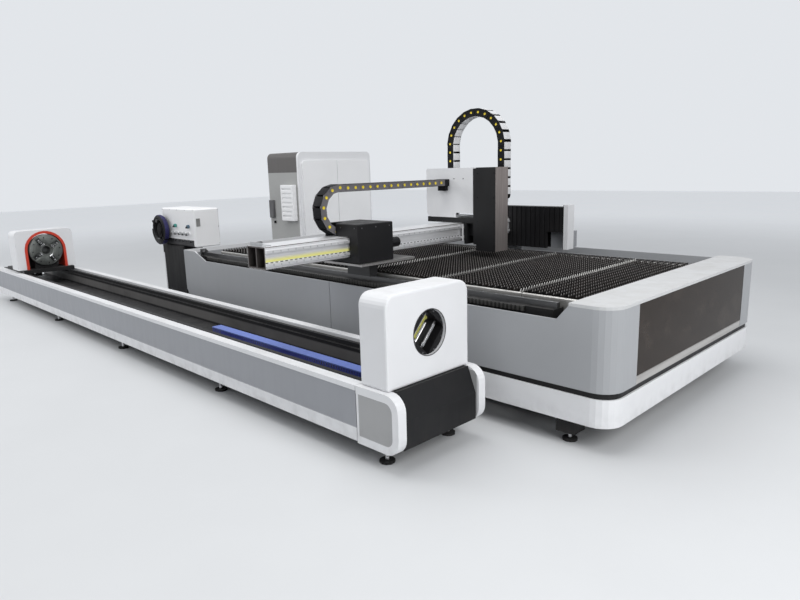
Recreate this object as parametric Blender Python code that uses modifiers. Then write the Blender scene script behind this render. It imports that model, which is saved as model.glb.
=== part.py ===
"""A fiber laser cutting machine for sheets and tubes: a slat-topped plate bed with a
moving gantry, a tube bed with two chucks beside it, an electrical cabinet and a
connection box on a pedestal. Metres, +Z up, +X along the beds, +Y across them."""

import math

import bmesh
import bpy
from mathutils import Matrix, Vector

# Fits that the whole machine shares
SEAT = 0.0003
OVERRUN = 0.02
SINK = 0.005
UNIT = 1.0
WELD = 0.00001
FLAT = math.radians(0.05)
ARC_STEPS = 6

# Where the beds and the cabinet stand
TUBE_BED_LENGTH = 7.52
TUBE_BED_WIDTH = 0.72
PLATE_BED_LENGTH = 4.71
PLATE_BED_WIDTH = 2.28
END_OVERHANG = 0.69
BED_SPACING = 0.20
CABINET_REACH = 1.00

total_length = TUBE_BED_LENGTH + END_OVERHANG
total_width = TUBE_BED_WIDTH + BED_SPACING + PLATE_BED_WIDTH + CABINET_REACH
left = -total_length / 2
near = -total_width / 2
tube_x0 = left
tube_x1 = left + TUBE_BED_LENGTH
tube_y0 = near
tube_y1 = near + TUBE_BED_WIDTH
tube_axis_y = (tube_y0 + tube_y1) / 2
plate_x1 = left + total_length
plate_x0 = plate_x1 - PLATE_BED_LENGTH
plate_y0 = tube_y1 + BED_SPACING
plate_y1 = plate_y0 + PLATE_BED_WIDTH

# Plate bed: skirt, panels and frame
SKIRT_BOTTOM = 0.155
SKIRT_TOP = 0.318
PANEL_BOTTOM = 0.353
PANEL_TOP = 0.817
SILL_HEIGHT = 0.733
PANEL_THICKNESS = 0.012
CORNER_RADIUS = 0.13
PANEL_JOINT_FROM_END = 2.35
JOINT_GAP = 0.006
SILL_FROM_END = 0.35
SILL_SLOPE = 0.072
LEFT_RAISED = 0.23
LEFT_SLOPE = 0.20
LEFT_CHAMFER = 0.06
END_COLUMN = 0.28
WINDOW_BOTTOM = 0.404
WINDOW_GROOVE = 0.004
SHELF_DEPTH = 0.275
SHELF_THICKNESS = 0.018
FRAME_BOTTOM = 0.20
FRAME_TOP = 0.70
NEAR_BEAM_WIDTH = 0.178
FAR_BEAM_WIDTH = 0.43
LEFT_BEAM_WIDTH = 0.33
RIGHT_BEAM_WIDTH = 0.28
CROSS_BEAM_WIDTH = 0.08
CROSS_BEAM_DEPTH = 0.25
CROSS_BEAM_DROP = 0.004
TRAY_BEAM_DEPTH = 0.04
LEG_SIZE = 0.12
LEG_PAIRS = 5
LEG_INSET = 0.30
LEG_BACK = 0.10

# Levelling feet, alike under both beds
FOOT_PAD_RADIUS = 0.045
FOOT_PAD_HEIGHT = 0.014
FOOT_BOLT_RADIUS = 0.011
FOOT_BLOCK_CLEARANCE = 0.06

# Slat table
TABLE_TOP = 0.83
TABLE_NEAR_INSET = 0.20
TABLE_WIDTH = 1.62
MODULE_PITCH = 0.72
SHORT_MODULE = 0.43
FULL_MODULES = 5
MODULE_GAP = 0.004
TABLE_BAR_TOP = 0.81
TABLE_BAR_WIDTH = 0.02
SLAT_PITCH = 0.09
SLAT_THICKNESS = 0.006
SLAT_BOTTOM = 0.735
TOOTH_PITCH = 0.135
TOOTH_DEPTH = 0.024
TABLE_TO_SHELF = 0.012

# Guide rails and rack of the gantry, on raised seats beside the table
RAIL_SEAT_TOP = 0.76
RAIL_SEAT_WIDTH = 0.11
RAIL_SEAT_OFFSET = 0.07
RAIL_WIDTH = 0.03
RAIL_HEIGHT = 0.035
NEAR_RAIL_OFFSET = 0.14
FAR_RAIL_OFFSET = 0.25
RAIL_LEFT_INSET = 0.13
RAIL_RIGHT_INSET = 0.42
BUFFER_RADIUS = 0.028
BUFFER_LENGTH = 0.05
RACK_DEPTH = 0.024
RACK_HEIGHT = 0.03
RACK_PITCH = 0.08
RACK_TOOTH = 0.01

# Scrap tray under the table
TRAY_MARGIN = 0.08
TRAY_DEPTH = 0.12
TRAY_WALL = 0.004

# Tube bed
CHEEK_BOTTOM = 0.12
CHEEK_TOP = 0.44
CHEEK_SHEET = 0.01
CHEEK_FLANGE = 0.07
CHEEK_STANDOFF = 0.06
INLAY_BOTTOM = 0.197
INLAY_TOP = 0.41
INLAY_DEPTH = 0.002
TUBE_FRAME_BOTTOM = 0.15
TUBE_FRAME_TOP = 0.40
TUBE_FRAME_FLOOR = 0.28
TUBE_FRAME_WALL = 0.09
TUBE_RAIL_HEIGHT = 0.03
TUBE_RAIL_WIDTH = 0.03
TUBE_RAIL_INSET = 0.04
CAP_LENGTH = 0.325
CAP_BOTTOM = 0.11
CAP_RADIUS = 0.09
CAP_INLAY_MARGIN = 0.045
CAP_INLAY_RADIUS = 0.05
CHUCK_BLOCK_END = 0.085
TUBE_FOOT_PAIRS = 5
TUBE_FOOT_INSET = 0.20

# Chute sheet at the end of the tube bed
CHUTE_SHEET = 0.006
CHUTE_RUN = 0.062
CHUTE_DROP = 0.15
CHUTE_BOTTOM = 0.13

# Cable duct and energy chain in the tube bed
DUCT_FROM_END = 0.40
DUCT_LENGTH = 2.00
DUCT_WIDTH = 0.08
DUCT_HEIGHT = 0.10
DUCT_WALL = 0.008
DUCT_OFFSET = 0.02
TUBE_CHAIN_LENGTH = 4.15
TUBE_CHAIN_WIDTH = 0.09
TUBE_CHAIN_HEIGHT = 0.05
TUBE_CHAIN_OFFSET = 0.12
TUBE_CHAIN_RETURN = 0.20
TUBE_CHAIN_PITCH = 0.15

# Chucks, both on the tube axis
TUBE_AXIS_HEIGHT = 0.70
CHUCK_HALF_WIDTH = 0.33
FRONT_CHUCK_DEPTH = 0.21
FRONT_CHUCK_FROM_CAP = 0.10
FRONT_CHUCK_TOP = 0.95
FRONT_CHUCK_RADIUS = 0.07
FRONT_CHUCK_EDGE = 0.012
FRONT_BORE_RADIUS = 0.127
FRONT_LIP = 0.015
ROTOR_RADIUS = 0.16
ROTOR_FIT = 0.0012
ROTOR_WINDOW_LONG = 0.094
ROTOR_WINDOW_WIDE = 0.085
FRONT_JAW_OFFSET = 0.045
FRONT_JAW_THICKNESS = 0.02
FRONT_JAW_DEPTH = 0.13
FRONT_ROTOR_ANGLE = math.radians(43)
REAR_CHUCK_FROM_END = 0.705
REAR_HOUSING_DEPTH = 0.245
REAR_FACE_FROM_END = 0.95
REAR_HOUSING_BOTTOM = 0.475
REAR_HOUSING_TOP = 0.95
REAR_HOUSING_RADIUS = 0.06
ARCH_RADIUS = 0.235
RIM_THICKNESS = 0.03
RIM_PROUD = 0.006
DISC_RADIUS = 0.192
DISC_THICKNESS = 0.06
DISC_PROUD = 0.02
SPINDLE_RADIUS = 0.08
SPINDLE_BORE = 0.05
SPINDLE_FIT = 0.0005
BEARING_BLOCK_WIDTH = 0.26
BEARING_BLOCK_TOP = 0.83
REAR_JAW_LENGTH = 0.095
REAR_JAW_WIDTH = 0.042
REAR_JAW_DEPTH = 0.05
REAR_JAW_INNER = 0.075
REAR_JAW_STEP = 0.5
REAR_JAW_ANGLE = math.radians(-32)
REAR_BASE_BACK = 0.40
REAR_BASE_FRONT = 0.06
REAR_BASE_HALF_WIDTH = 0.29
REAR_MOTOR_LENGTH = 0.33
REAR_MOTOR_HALF_WIDTH = 0.24
REAR_MOTOR_HEIGHT = 0.33
REAR_MOTOR_RADIUS = 0.03

# Gantry beam
BEAM_FRONT_FROM_END = 2.01
BEAM_DEPTH = 0.209
BEAM_BOTTOM = 0.955
BEAM_TOP = 1.105
BEAM_NEAR_REACH = 0.78
BEAM_FAR_INSET = 0.14
BEAM_WALL = 0.01
BEAM_EDGE = 0.006
BEAM_RAIL_PROUD = 0.018
BEAM_RAIL_HEIGHT = 0.02
BEAM_RAIL_INSET = 0.022

# Carriages that carry the beam on the rails
SLIDER_WIDTH = 0.08
SLIDER_LENGTH = 0.25
BASE_PLATE_BOTTOM = 0.90
BASE_PLATE_THICKNESS = 0.015
BASE_PLATE_FRONT = 0.145
BASE_PLATE_BACK = 0.02
BASE_PLATE_NEAR = 0.10
BASE_PLATE_FAR = 0.46

# Near drive cover with its motor
NEAR_COVER_NEAR = 0.08
NEAR_COVER_WIDTH = 0.35
NEAR_COVER_FRONT = 0.11
NEAR_COVER_BACK = 0.05
NEAR_COVER_TOP = 1.197
COVER_SHEET = 0.004
COVER_EDGE = 0.006
CASING_WALL = 0.01
MOTOR_RADIUS = 0.038
MOTOR_HEIGHT = 1.035
MOTOR_PROUD = 0.09
MOTOR_LENGTH = 0.34
MOTOR_GAP = 0.005

# Far drive cover
FAR_COVER_BACK = 0.19
FAR_COVER_LENGTH = 0.98
FAR_COVER_GAP = 0.005
FAR_COVER_WIDTH = 0.105
FAR_COVER_BOTTOM = 0.845
FAR_COVER_TOP = 1.21
FAR_RIB_PITCH = 0.05
FAR_RIB_DEPTH = 0.012
FAR_CAP_THICKNESS = 0.04
FAR_CAP_RISE = 0.02
FAR_NOTCH_LENGTH = 0.17
FAR_NOTCH_TOP = 0.99

# Head carriage, white cover and tower
HEAD_FROM_NEAR_EDGE = 1.20
HEAD_WIDTH = 0.195
HEAD_BACK = 0.19
SADDLE_THICKNESS = 0.045
SADDLE_REACH = 0.31
FRONT_PLATE_THICKNESS = 0.026
FRONT_PLATE_BOTTOM = 0.928
BACKBONE_THICKNESS = 0.03
BACKBONE_FRONT = 0.15
BACKBONE_BOTTOM = 0.93
HEAD_TOP = 1.567
HEAD_COVER_RADIUS = 0.05
HEAD_COVER_SMALL_RADIUS = 0.015
HEAD_NOTCH_LENGTH = 0.185
HEAD_NOTCH_RISE = 0.04
TOWER_DEPTH = 0.20
TOWER_WIDTH = 0.171
TOWER_BOTTOM = 0.88
SLOT_HALF_WIDTH = 0.026
SLOT_BOTTOM = 1.235
SLOT_TOP = 1.53

# Z slide and cutting head
SLIDE_THICKNESS = 0.02
SLIDE_MARGIN = 0.02
SLIDE_BOTTOM = 1.00
ARM_HEIGHT = 1.27
ARM_THICKNESS = 0.03
ARM_WIDTH = 0.04
ARM_SIDE = 0.022
SLIDE_ABOVE_ARM = 0.04
HEAD_AXIS_FRONT = 0.10
HEAD_AXIS_SIDE = 0.075
NOZZLE_TIP = 0.865
NOZZLE_TIP_RADIUS = 0.004
NOZZLE_RADIUS = 0.012
NOZZLE_LENGTH = 0.03
HEAD_NECK_RADIUS = 0.022
HEAD_NECK_TOP = 0.98
HEAD_BODY_RADIUS = 0.036
HEAD_BODY_TOP = 1.30
HEAD_CONNECTOR_RADIUS = 0.018
HEAD_CONNECTOR_TOP = 1.37
HEAD_CLAMP_BOTTOM = 1.08
HEAD_CLAMP_TOP = 1.20
HEAD_CLAMP_HALF_WIDTH = 0.028

# Energy chains of the gantry
Y_CHAIN_WIDTH = 0.10
Y_CHAIN_HEIGHT = 0.054
Y_CHAIN_BACK = 0.026
Y_CHAIN_UPPER_TOP = 1.474
Y_CHAIN_BEND_FROM_COVER = 0.062
Y_CHAIN_PITCH = 0.062
Y_CHAIN_TAIL = 0.20
Z_CHAIN_WIDTH = 0.10
Z_CHAIN_HEIGHT = 0.07
Z_CHAIN_GAP = 0.005
Z_CHAIN_SPAN = 0.55
Z_CHAIN_LEFT = 0.107
Z_CHAIN_TOP = 2.06
Z_CHAIN_PITCH = 0.075
CHAIN_NOTCH = 0.006
CHAIN_NOTCH_SHARE = 0.1
PIN_RADIUS = 0.009
PIN_PROUD = 0.003
PIN_SIDES = 6

# Cabinet, doors, laser source and cooler
CABINET_DEPTH = 0.70
CABINET_WIDTH = 1.26
CABINET_HEIGHT = 1.82
CABINET_FROM_LEFT = 2.10
CABINET_WALL = 0.03
CABINET_FLOOR = 0.06
CABINET_HEAD = 0.12
CABINET_RADIUS = 0.07
DOOR_THICKNESS = 0.025
DOOR_MARGIN = 0.045
DOOR_BOTTOM = 0.09
DOOR_TOP = 1.71
DOOR_GAP = 0.006
DOOR_RADIUS = 0.05
SOURCE_DEPTH = 0.52
SOURCE_WIDTH = 0.60
SOURCE_HEIGHT = 0.42
SOURCE_MARGIN = 0.06
SOURCE_EDGE = 0.01
COOLER_LENGTH = 0.27
COOLER_DEPTH = 0.07
COOLER_BOTTOM = 0.93
COOLER_TOP = 1.40
COOLER_BACK = 0.36
COOLER_FINS = 7
COOLER_FIN_DEPTH = 0.012
COOLER_FIN_MARGIN = 0.03

# Connection box on its pedestal, with a coil of cable on a peg
PEDESTAL_FROM_LEFT = 2.70
PEDESTAL_LENGTH = 0.50
PEDESTAL_WIDTH = 0.23
PEDESTAL_HEIGHT = 0.82
PEDESTAL_EDGE = 0.01
BOX_FROM_LEFT = 2.76
BOX_LENGTH = 0.73
BOX_WIDTH = 0.287
BOX_HEIGHT = 0.40
BOX_NEAR_OFFSET = 0.15
BOX_EDGE = 0.012
BOX_SOCKETS = 5
SOCKET_RADIUS = 0.014
SOCKET_PROUD = 0.012
SOCKET_PITCH = 0.085
SOCKET_FIRST = 0.27
SOCKET_LOW = 0.06
SOCKET_HIGH = 0.14
COIL_RADIUS = 0.165
COIL_INNER_RADIUS = 0.105
COIL_WIDTH = 0.05
COIL_STANDOFF = 0.03
COIL_SIDE = 0.045
COIL_STEPS = 20
PEG_RADIUS = 0.012
PEG_HEIGHT = 0.255
PEG_LIP = 0.006
CABLE_RADIUS = 0.006

DEEP_BLACK = (0.012, 0.012, 0.013)
CHARCOAL = (0.045, 0.046, 0.05)
WHITE = (0.80, 0.79, 0.79)
PANEL_GREY = (0.36, 0.37, 0.39)
DARK_GREY = (0.16, 0.16, 0.17)
ALUMINIUM = (0.78, 0.76, 0.74)
STEEL = (0.42, 0.43, 0.43)
DUCT_BLUE = (0.13, 0.17, 0.52)
RIM_RED = (0.75, 0.09, 0.03)
SMOKED = (0.03, 0.027, 0.025)


def clear_scene():
    for obj in list(bpy.data.objects):
        bpy.data.objects.remove(obj, do_unlink=True)


def collection(name, helper):
    found = bpy.data.collections.new(name)
    bpy.context.scene.collection.children.link(found)
    found.hide_render = helper
    return found


clear_scene()
PARTS = collection("fiber_laser_cutting_machine", False)
CUTTERS = collection("cutters", True)


def paint(name, colour, roughness, metallic):
    """A Principled material in one colour."""
    made = bpy.data.materials.new(name)
    made.use_nodes = True
    shader = made.node_tree.nodes["Principled BSDF"]
    shader.inputs["Base Color"].default_value = (*colour, 1)
    shader.inputs["Roughness"].default_value = roughness
    shader.inputs["Metallic"].default_value = metallic
    return made


def add_object(name, mesh):
    obj = bpy.data.objects.new(name, mesh)
    CUTTERS.objects.link(obj)
    obj.hide_render = True
    obj.display_type = "WIRE"
    return obj


def part(obj, name, colour, roughness=0.5, metallic=0.0):
    """Makes a built shape one of the machine's pieces."""
    CUTTERS.objects.unlink(obj)
    PARTS.objects.link(obj)
    obj.name = name
    obj.hide_render = False
    obj.display_type = "TEXTURED"
    obj.data.materials.clear()
    obj.data.materials.append(paint(name, colour, roughness, metallic))
    return obj


def block(low, high):
    """A box between two corners, its origin at its centre."""
    low, high = Vector(low), Vector(high)
    bm = bmesh.new()
    bmesh.ops.create_cube(bm, size=UNIT, matrix=Matrix.Diagonal((*(high - low), 1)))
    mesh = bpy.data.meshes.new("block")
    bm.to_mesh(mesh)
    bm.free()
    obj = add_object("block", mesh)
    obj.location = (low + high) / 2
    return obj


# Each turns a flat outline so that its own +Z lies along the named axis.
TURN = {
    "X": Matrix(((0, 0, 1), (1, 0, 0), (0, 1, 0))).to_4x4(),
    "Y": Matrix(((1, 0, 0), (0, 0, -1), (0, 1, 0))).to_4x4(),
    "Z": Matrix.Identity(4),
}
ALONG = {"X": Vector((1, 0, 0)), "Y": Vector((0, 1, 0)), "Z": Vector((0, 0, 1))}


def slab(outlines, axis, start, end):
    """A flat outline, with any holes after it, given depth along an axis. Its points
    are (y, z) along X, (x, z) along Y and (x, y) along Z."""
    curve = bpy.data.curves.new("outline", "CURVE")
    curve.dimensions = "2D"
    curve.fill_mode = "BOTH"
    curve.extrude = (end - start) / 2
    for outline in outlines:
        spline = curve.splines.new("POLY")
        spline.points.add(len(outline) - 1)
        for point, (u, v) in zip(spline.points, outline):
            point.co = (u, v, 0, 1)
        spline.use_cyclic_u = True
    guide = add_object("outline", curve)
    mesh = bpy.data.meshes.new_from_object(guide.evaluated_get(bpy.context.evaluated_depsgraph_get()))
    bpy.data.objects.remove(guide, do_unlink=True)
    bm = bmesh.new()
    bm.from_mesh(mesh)
    bmesh.ops.remove_doubles(bm, verts=bm.verts, dist=WELD)
    if len(outlines) == 1:
        for side in (-1, 1):
            cap = [face for face in bm.faces if all(v.co.z * side > 0 for v in face.verts)]
            bmesh.ops.dissolve_faces(bm, faces=cap)
    else:
        bmesh.ops.dissolve_degenerate(bm, dist=WELD, edges=bm.edges)
        bmesh.ops.dissolve_limit(bm, angle_limit=FLAT, verts=bm.verts, edges=bm.edges)
    bmesh.ops.transform(bm, matrix=TURN[axis], verts=bm.verts)
    bmesh.ops.recalc_face_normals(bm, faces=bm.faces)
    bm.to_mesh(mesh)
    bm.free()
    obj = add_object("slab", mesh)
    obj.location = ALONG[axis] * (start + end) / 2
    return obj


def rod(start, end, radius, end_radius=None, sides=24):
    """A round bar, or a cone, between two points."""
    start, end = Vector(start), Vector(end)
    run = end - start
    turn = Vector((0, 0, 1)).rotation_difference(run).to_matrix().to_4x4()
    bm = bmesh.new()
    bmesh.ops.create_cone(
        bm, cap_ends=True, segments=sides, radius1=radius,
        radius2=radius if end_radius is None else end_radius, depth=run.length, matrix=turn,
    )
    mesh = bpy.data.meshes.new("rod")
    bm.to_mesh(mesh)
    bm.free()
    obj = add_object("rod", mesh)
    obj.location = (start + end) / 2
    return obj


def turned(profile, axis, origin, steps=32):
    """A closed profile of (radius, height) points turned about an axis. The profile
    runs down its outer side."""
    mesh = bpy.data.meshes.new("turned")
    ends = [(i, (i + 1) % len(profile)) for i in range(len(profile))]
    mesh.from_pydata([(r, 0, h) for r, h in profile], ends, [])
    obj = add_object("turned", mesh)
    screw = obj.modifiers.new("turn", "SCREW")
    screw.steps = steps
    screw.render_steps = steps
    screw.use_merge_vertices = True
    screw.merge_threshold = WELD
    screw.use_normal_calculate = True
    obj.matrix_world = Matrix.Translation(origin) @ TURN[axis]
    return obj


def boolean(obj, others, operation):
    for other in others:
        modifier = obj.modifiers.new(operation.lower(), "BOOLEAN")
        modifier.operation = operation
        modifier.solver = "EXACT"
        modifier.object = other
    return obj


def cut(obj, *cutters):
    return boolean(obj, cutters, "DIFFERENCE")


def join(obj, *others):
    return boolean(obj, others, "UNION")


def merged(objects):
    """Shapes that stand apart, as one mesh for one Boolean."""
    bm = bmesh.new()
    bpy.context.view_layer.update()
    for obj in objects:
        copy = obj.data.copy()
        copy.transform(obj.matrix_world)
        bm.from_mesh(copy)
        bpy.data.objects.remove(obj, do_unlink=True)
    mesh = bpy.data.meshes.new("merged")
    bm.to_mesh(mesh)
    bm.free()
    return add_object("merged", mesh)


def bevel(obj, width, segments=1, angle=math.radians(60)):
    modifier = obj.modifiers.new("edges", "BEVEL")
    modifier.width = width
    modifier.segments = segments
    modifier.limit_method = "ANGLE"
    modifier.angle_limit = angle
    return obj


def smooth(obj, angle=math.radians(35)):
    """Smooth shading that keeps the hard edges."""
    obj.data.shade_smooth()
    obj.data.set_sharp_from_angle(angle=angle)
    return obj


def arc(centre, radius, first, last, steps=ARC_STEPS):
    """Points on a circle from one angle to another, in degrees."""
    turns = [math.radians(first + (last - first) * i / steps) for i in range(steps + 1)]
    return [(centre[0] + radius * math.cos(t), centre[1] + radius * math.sin(t)) for t in turns]


def rounded(low, high, radii, steps=ARC_STEPS):
    """A rectangle whose corners have their own radii, from the low corner round."""
    (u0, v0), (u1, v1) = low, high
    corners = ((u0, v0, 1, 1, 180), (u1, v0, -1, 1, 270), (u1, v1, -1, -1, 0), (u0, v1, 1, -1, 90))
    points = []
    for (u, v, inward_u, inward_v, first), radius in zip(corners, radii):
        if radius == 0:
            points.append((u, v))
            continue
        centre = (u + inward_u * radius, v + inward_v * radius)
        points += arc(centre, radius, first, first + 90, steps)
    return points


def evenly(first, last, count):
    return [first + (last - first) * i / (count - 1) for i in range(count)]


def foot(x, y, top):
    """A levelling foot: a round pad with its bolt up into the frame."""
    pad = rod((x, y, 0), (x, y, FOOT_PAD_HEIGHT), FOOT_PAD_RADIUS, sides=10)
    bolt = rod((x, y, FOOT_PAD_HEIGHT - SINK), (x, y, top + SINK), FOOT_BOLT_RADIUS, sides=6)
    return pad, bolt


# Layout of the plate bed
frame_inset = PANEL_THICKNESS + SEAT
frame_x0 = plate_x0 + frame_inset
frame_x1 = plate_x1 - frame_inset
frame_y0 = plate_y0 + frame_inset
frame_y1 = plate_y1 - frame_inset
bay_x0 = plate_x0 + LEFT_BEAM_WIDTH
bay_x1 = plate_x1 - RIGHT_BEAM_WIDTH
bay_y0 = plate_y0 + NEAR_BEAM_WIDTH + frame_inset
bay_y1 = plate_y1 - FAR_BEAM_WIDTH
table_x1 = plate_x1 - SHELF_DEPTH - TABLE_TO_SHELF
table_x0 = table_x1 - SHORT_MODULE - FULL_MODULES * MODULE_PITCH
table_y0 = plate_y0 + TABLE_NEAR_INSET
table_y1 = table_y0 + TABLE_WIDTH
borders = [table_x1 - SHORT_MODULE - MODULE_PITCH * i for i in range(FULL_MODULES + 1)]
near_rail_y = plate_y0 + NEAR_RAIL_OFFSET
far_rail_y = plate_y1 - FAR_RAIL_OFFSET
rail_x0 = plate_x0 + RAIL_LEFT_INSET
rail_x1 = plate_x1 - RAIL_RIGHT_INSET
rail_top = RAIL_SEAT_TOP + SEAT + RAIL_HEIGHT
cross_beam_top = FRAME_TOP - CROSS_BEAM_DROP
tray_beam_bottom = FRAME_BOTTOM + CROSS_BEAM_DROP
leg_xs = evenly(plate_x0 + LEG_INSET, plate_x1 - LEG_INSET, LEG_PAIRS)
leg_ys = (plate_y0 + LEG_BACK, plate_y1 - LEG_BACK)


def edge_path(inset, steps=ARC_STEPS):
    """The plan of the bed's near side, rounded end corners and far side, set in."""
    radius = CORNER_RADIUS - inset
    corner_x = plate_x1 - CORNER_RADIUS
    near_corner = arc((corner_x, plate_y0 + CORNER_RADIUS), radius, -90, 0, steps)
    far_corner = arc((corner_x, plate_y1 - CORNER_RADIUS), radius, 0, 90, steps)
    return near_corner, far_corner


def plate_bed_frame():
    near_corner, far_corner = edge_path(frame_inset)
    outline = [(frame_x0, frame_y1), (frame_x0, frame_y0), *near_corner, *far_corner]
    bays = [(bay_x0, bay_y0), (bay_x0, bay_y1), (bay_x1, bay_y1), (bay_x1, bay_y0)]
    frame = slab([outline, bays], "Z", FRAME_BOTTOM, FRAME_TOP)
    beams = []
    low_y, high_y = bay_y0 - SINK, bay_y1 + SINK
    for x in (table_x1, *borders):
        low_x, high_x = x - CROSS_BEAM_WIDTH / 2, x + CROSS_BEAM_WIDTH / 2
        beam_bottom = cross_beam_top - CROSS_BEAM_DEPTH
        beams.append(block((low_x, low_y, beam_bottom), (high_x, high_y, cross_beam_top)))
        tray_beam_top = tray_beam_bottom + TRAY_BEAM_DEPTH
        beams.append(block((low_x, low_y, tray_beam_bottom), (high_x, high_y, tray_beam_top)))
    seats = [
        block(
            (rail_x0, y - RAIL_SEAT_WIDTH / 2, FRAME_TOP - SINK),
            (rail_x1, y + RAIL_SEAT_WIDTH / 2, RAIL_SEAT_TOP),
        )
        for y in (near_rail_y, far_rail_y)
    ]
    legs, pads, bolts = [], [], []
    for x in leg_xs:
        for y in leg_ys:
            half = LEG_SIZE / 2
            leg_top = FRAME_BOTTOM + SINK
            legs.append(block((x - half, y - half, FOOT_BLOCK_CLEARANCE), (x + half, y + half, leg_top)))
            pad, bolt = foot(x, y, FOOT_BLOCK_CLEARANCE)
            pads.append(pad)
            bolts.append(bolt)
    join(frame, merged(beams), merged(seats), merged(legs), merged(bolts), merged(pads))
    part(frame, "plate_bed_frame", DEEP_BLACK, 0.55)


def front_panel_right():
    start = plate_x1 - PANEL_JOINT_FROM_END + JOINT_GAP / 2
    stop = plate_y0 + END_COLUMN
    outer, _ = edge_path(0)
    inner, _ = edge_path(PANEL_THICKNESS)
    plan = [(start, plate_y0), *outer, (plate_x1, stop), (plate_x1 - PANEL_THICKNESS, stop)]
    plan += [*reversed(inner), (start, plate_y0 + PANEL_THICKNESS)]
    panel = slab([plan], "Z", PANEL_BOTTOM, PANEL_TOP)
    sill_end = plate_x1 - SILL_FROM_END
    window = [
        (start - OVERRUN, SILL_HEIGHT), (sill_end, SILL_HEIGHT), (sill_end + SILL_SLOPE, PANEL_TOP),
        (sill_end + SILL_SLOPE, PANEL_TOP + OVERRUN), (start - OVERRUN, PANEL_TOP + OVERRUN),
    ]
    cut(panel, slab([window], "Y", plate_y0 - OVERRUN, plate_y0 + PANEL_THICKNESS + OVERRUN))
    part(smooth(panel), "front_panel_right", PANEL_GREY, 0.42)


def front_panel_left():
    stop = plate_x1 - PANEL_JOINT_FROM_END - JOINT_GAP / 2
    raised = plate_x0 + LEFT_RAISED
    outline = [
        (plate_x0 + LEFT_CHAMFER, PANEL_BOTTOM), (stop, PANEL_BOTTOM), (stop, SILL_HEIGHT),
        (raised + LEFT_SLOPE, SILL_HEIGHT), (raised, PANEL_TOP), (plate_x0, PANEL_TOP),
        (plate_x0, PANEL_BOTTOM + LEFT_CHAMFER),
    ]
    panel = slab([outline], "Y", plate_y0, plate_y0 + PANEL_THICKNESS)
    part(panel, "front_panel_left", PANEL_GREY, 0.42)


def rear_panel():
    """The far side, with its rounded end corner and the bed's plain left end."""
    stop = plate_y1 - END_COLUMN
    _, outer = edge_path(0)
    _, inner = edge_path(PANEL_THICKNESS)
    near_edge = plate_y0 + PANEL_THICKNESS + SEAT
    plan = [(plate_x1, stop), *outer, (plate_x0, plate_y1), (plate_x0, near_edge)]
    inner_x = plate_x0 + PANEL_THICKNESS
    plan += [(inner_x, near_edge), (inner_x, plate_y1 - PANEL_THICKNESS)]
    plan += [*reversed(inner), (plate_x1 - PANEL_THICKNESS, stop)]
    part(smooth(slab([plan], "Z", PANEL_BOTTOM, PANEL_TOP)), "rear_panel", PANEL_GREY, 0.42)


def end_window():
    """The dark window of the end face, over its metal strip."""
    back = plate_x1 - PANEL_THICKNESS
    front = plate_x1 - WINDOW_GROOVE / 2
    outline = [
        (back, PANEL_BOTTOM), (front, PANEL_BOTTOM), (front, WINDOW_BOTTOM - WINDOW_GROOVE),
        (front - WINDOW_GROOVE, WINDOW_BOTTOM - WINDOW_GROOVE), (front - WINDOW_GROOVE, WINDOW_BOTTOM),
        (front, WINDOW_BOTTOM), (front, PANEL_TOP), (back, PANEL_TOP),
    ]
    window = slab([outline], "Y", plate_y0 + END_COLUMN + SEAT, plate_y1 - END_COLUMN - SEAT)
    part(window, "end_window", SMOKED, 0.08)


def end_shelf():
    near_corner, far_corner = edge_path(0)
    back = plate_x1 - SHELF_DEPTH
    bottom = PANEL_TOP + SEAT
    outline = [(back, plate_y1), (back, plate_y0), *near_corner, *far_corner]
    shelf = slab([outline], "Z", bottom, bottom + SHELF_THICKNESS)
    part(smooth(shelf), "end_shelf", WHITE, 0.4)


def skirt():
    near_outer, far_outer = edge_path(0)
    near_inner, far_inner = edge_path(PANEL_THICKNESS)
    plan = [(plate_x0, plate_y0), *near_outer, *far_outer, (plate_x0, plate_y1)]
    plan += [(plate_x0, plate_y1 - PANEL_THICKNESS), *reversed(far_inner)]
    plan += [*reversed(near_inner), (plate_x0, plate_y0 + PANEL_THICKNESS)]
    part(smooth(slab([plan], "Z", SKIRT_BOTTOM, SKIRT_TOP)), "skirt", WHITE, 0.4)


def slat_outline(y0, y1):
    """One slat across the table: a strip with a row of saw teeth on top."""
    teeth = max(round((y1 - y0) / TOOTH_PITCH), 1)
    pitch = (y1 - y0) / teeth
    points = [(y0, SLAT_BOTTOM), (y1, SLAT_BOTTOM)]
    for i in reversed(range(teeth)):
        points += [(y0 + pitch * (i + 1), TABLE_TOP - TOOTH_DEPTH), (y0 + pitch * (i + 0.5), TABLE_TOP)]
    return points + [(y0, TABLE_TOP - TOOTH_DEPTH)]


def slat_module(index, x0, x1):
    """A lift-out frame of toothed slats that stands on the bed's cross beams."""
    bottom = cross_beam_top + SEAT
    bars = [
        block((x0, y, bottom), (x1, y + TABLE_BAR_WIDTH, TABLE_BAR_TOP))
        for y in (table_y0, table_y1 - TABLE_BAR_WIDTH)
    ]
    ends = [
        block(
            (x, table_y0 + SINK, bottom + SINK),
            (x + TABLE_BAR_WIDTH, table_y1 - SINK, SLAT_BOTTOM + SINK),
        )
        for x in (x0 + SINK, x1 - SINK - TABLE_BAR_WIDTH)
    ]
    count = max(round((x1 - x0) / SLAT_PITCH), 2)
    edge = SINK + TABLE_BAR_WIDTH / 2
    slats = []
    for x in evenly(x0 + edge, x1 - edge, count):
        outline = slat_outline(table_y0 + TABLE_BAR_WIDTH / 2, table_y1 - TABLE_BAR_WIDTH / 2)
        slats.append(slab([outline], "X", x - SLAT_THICKNESS / 2, x + SLAT_THICKNESS / 2))
    module = merged(bars)
    join(module, merged(ends), merged(slats))
    part(module, "slat_module_%d" % index, CHARCOAL, 0.5, 0.6)


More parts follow.
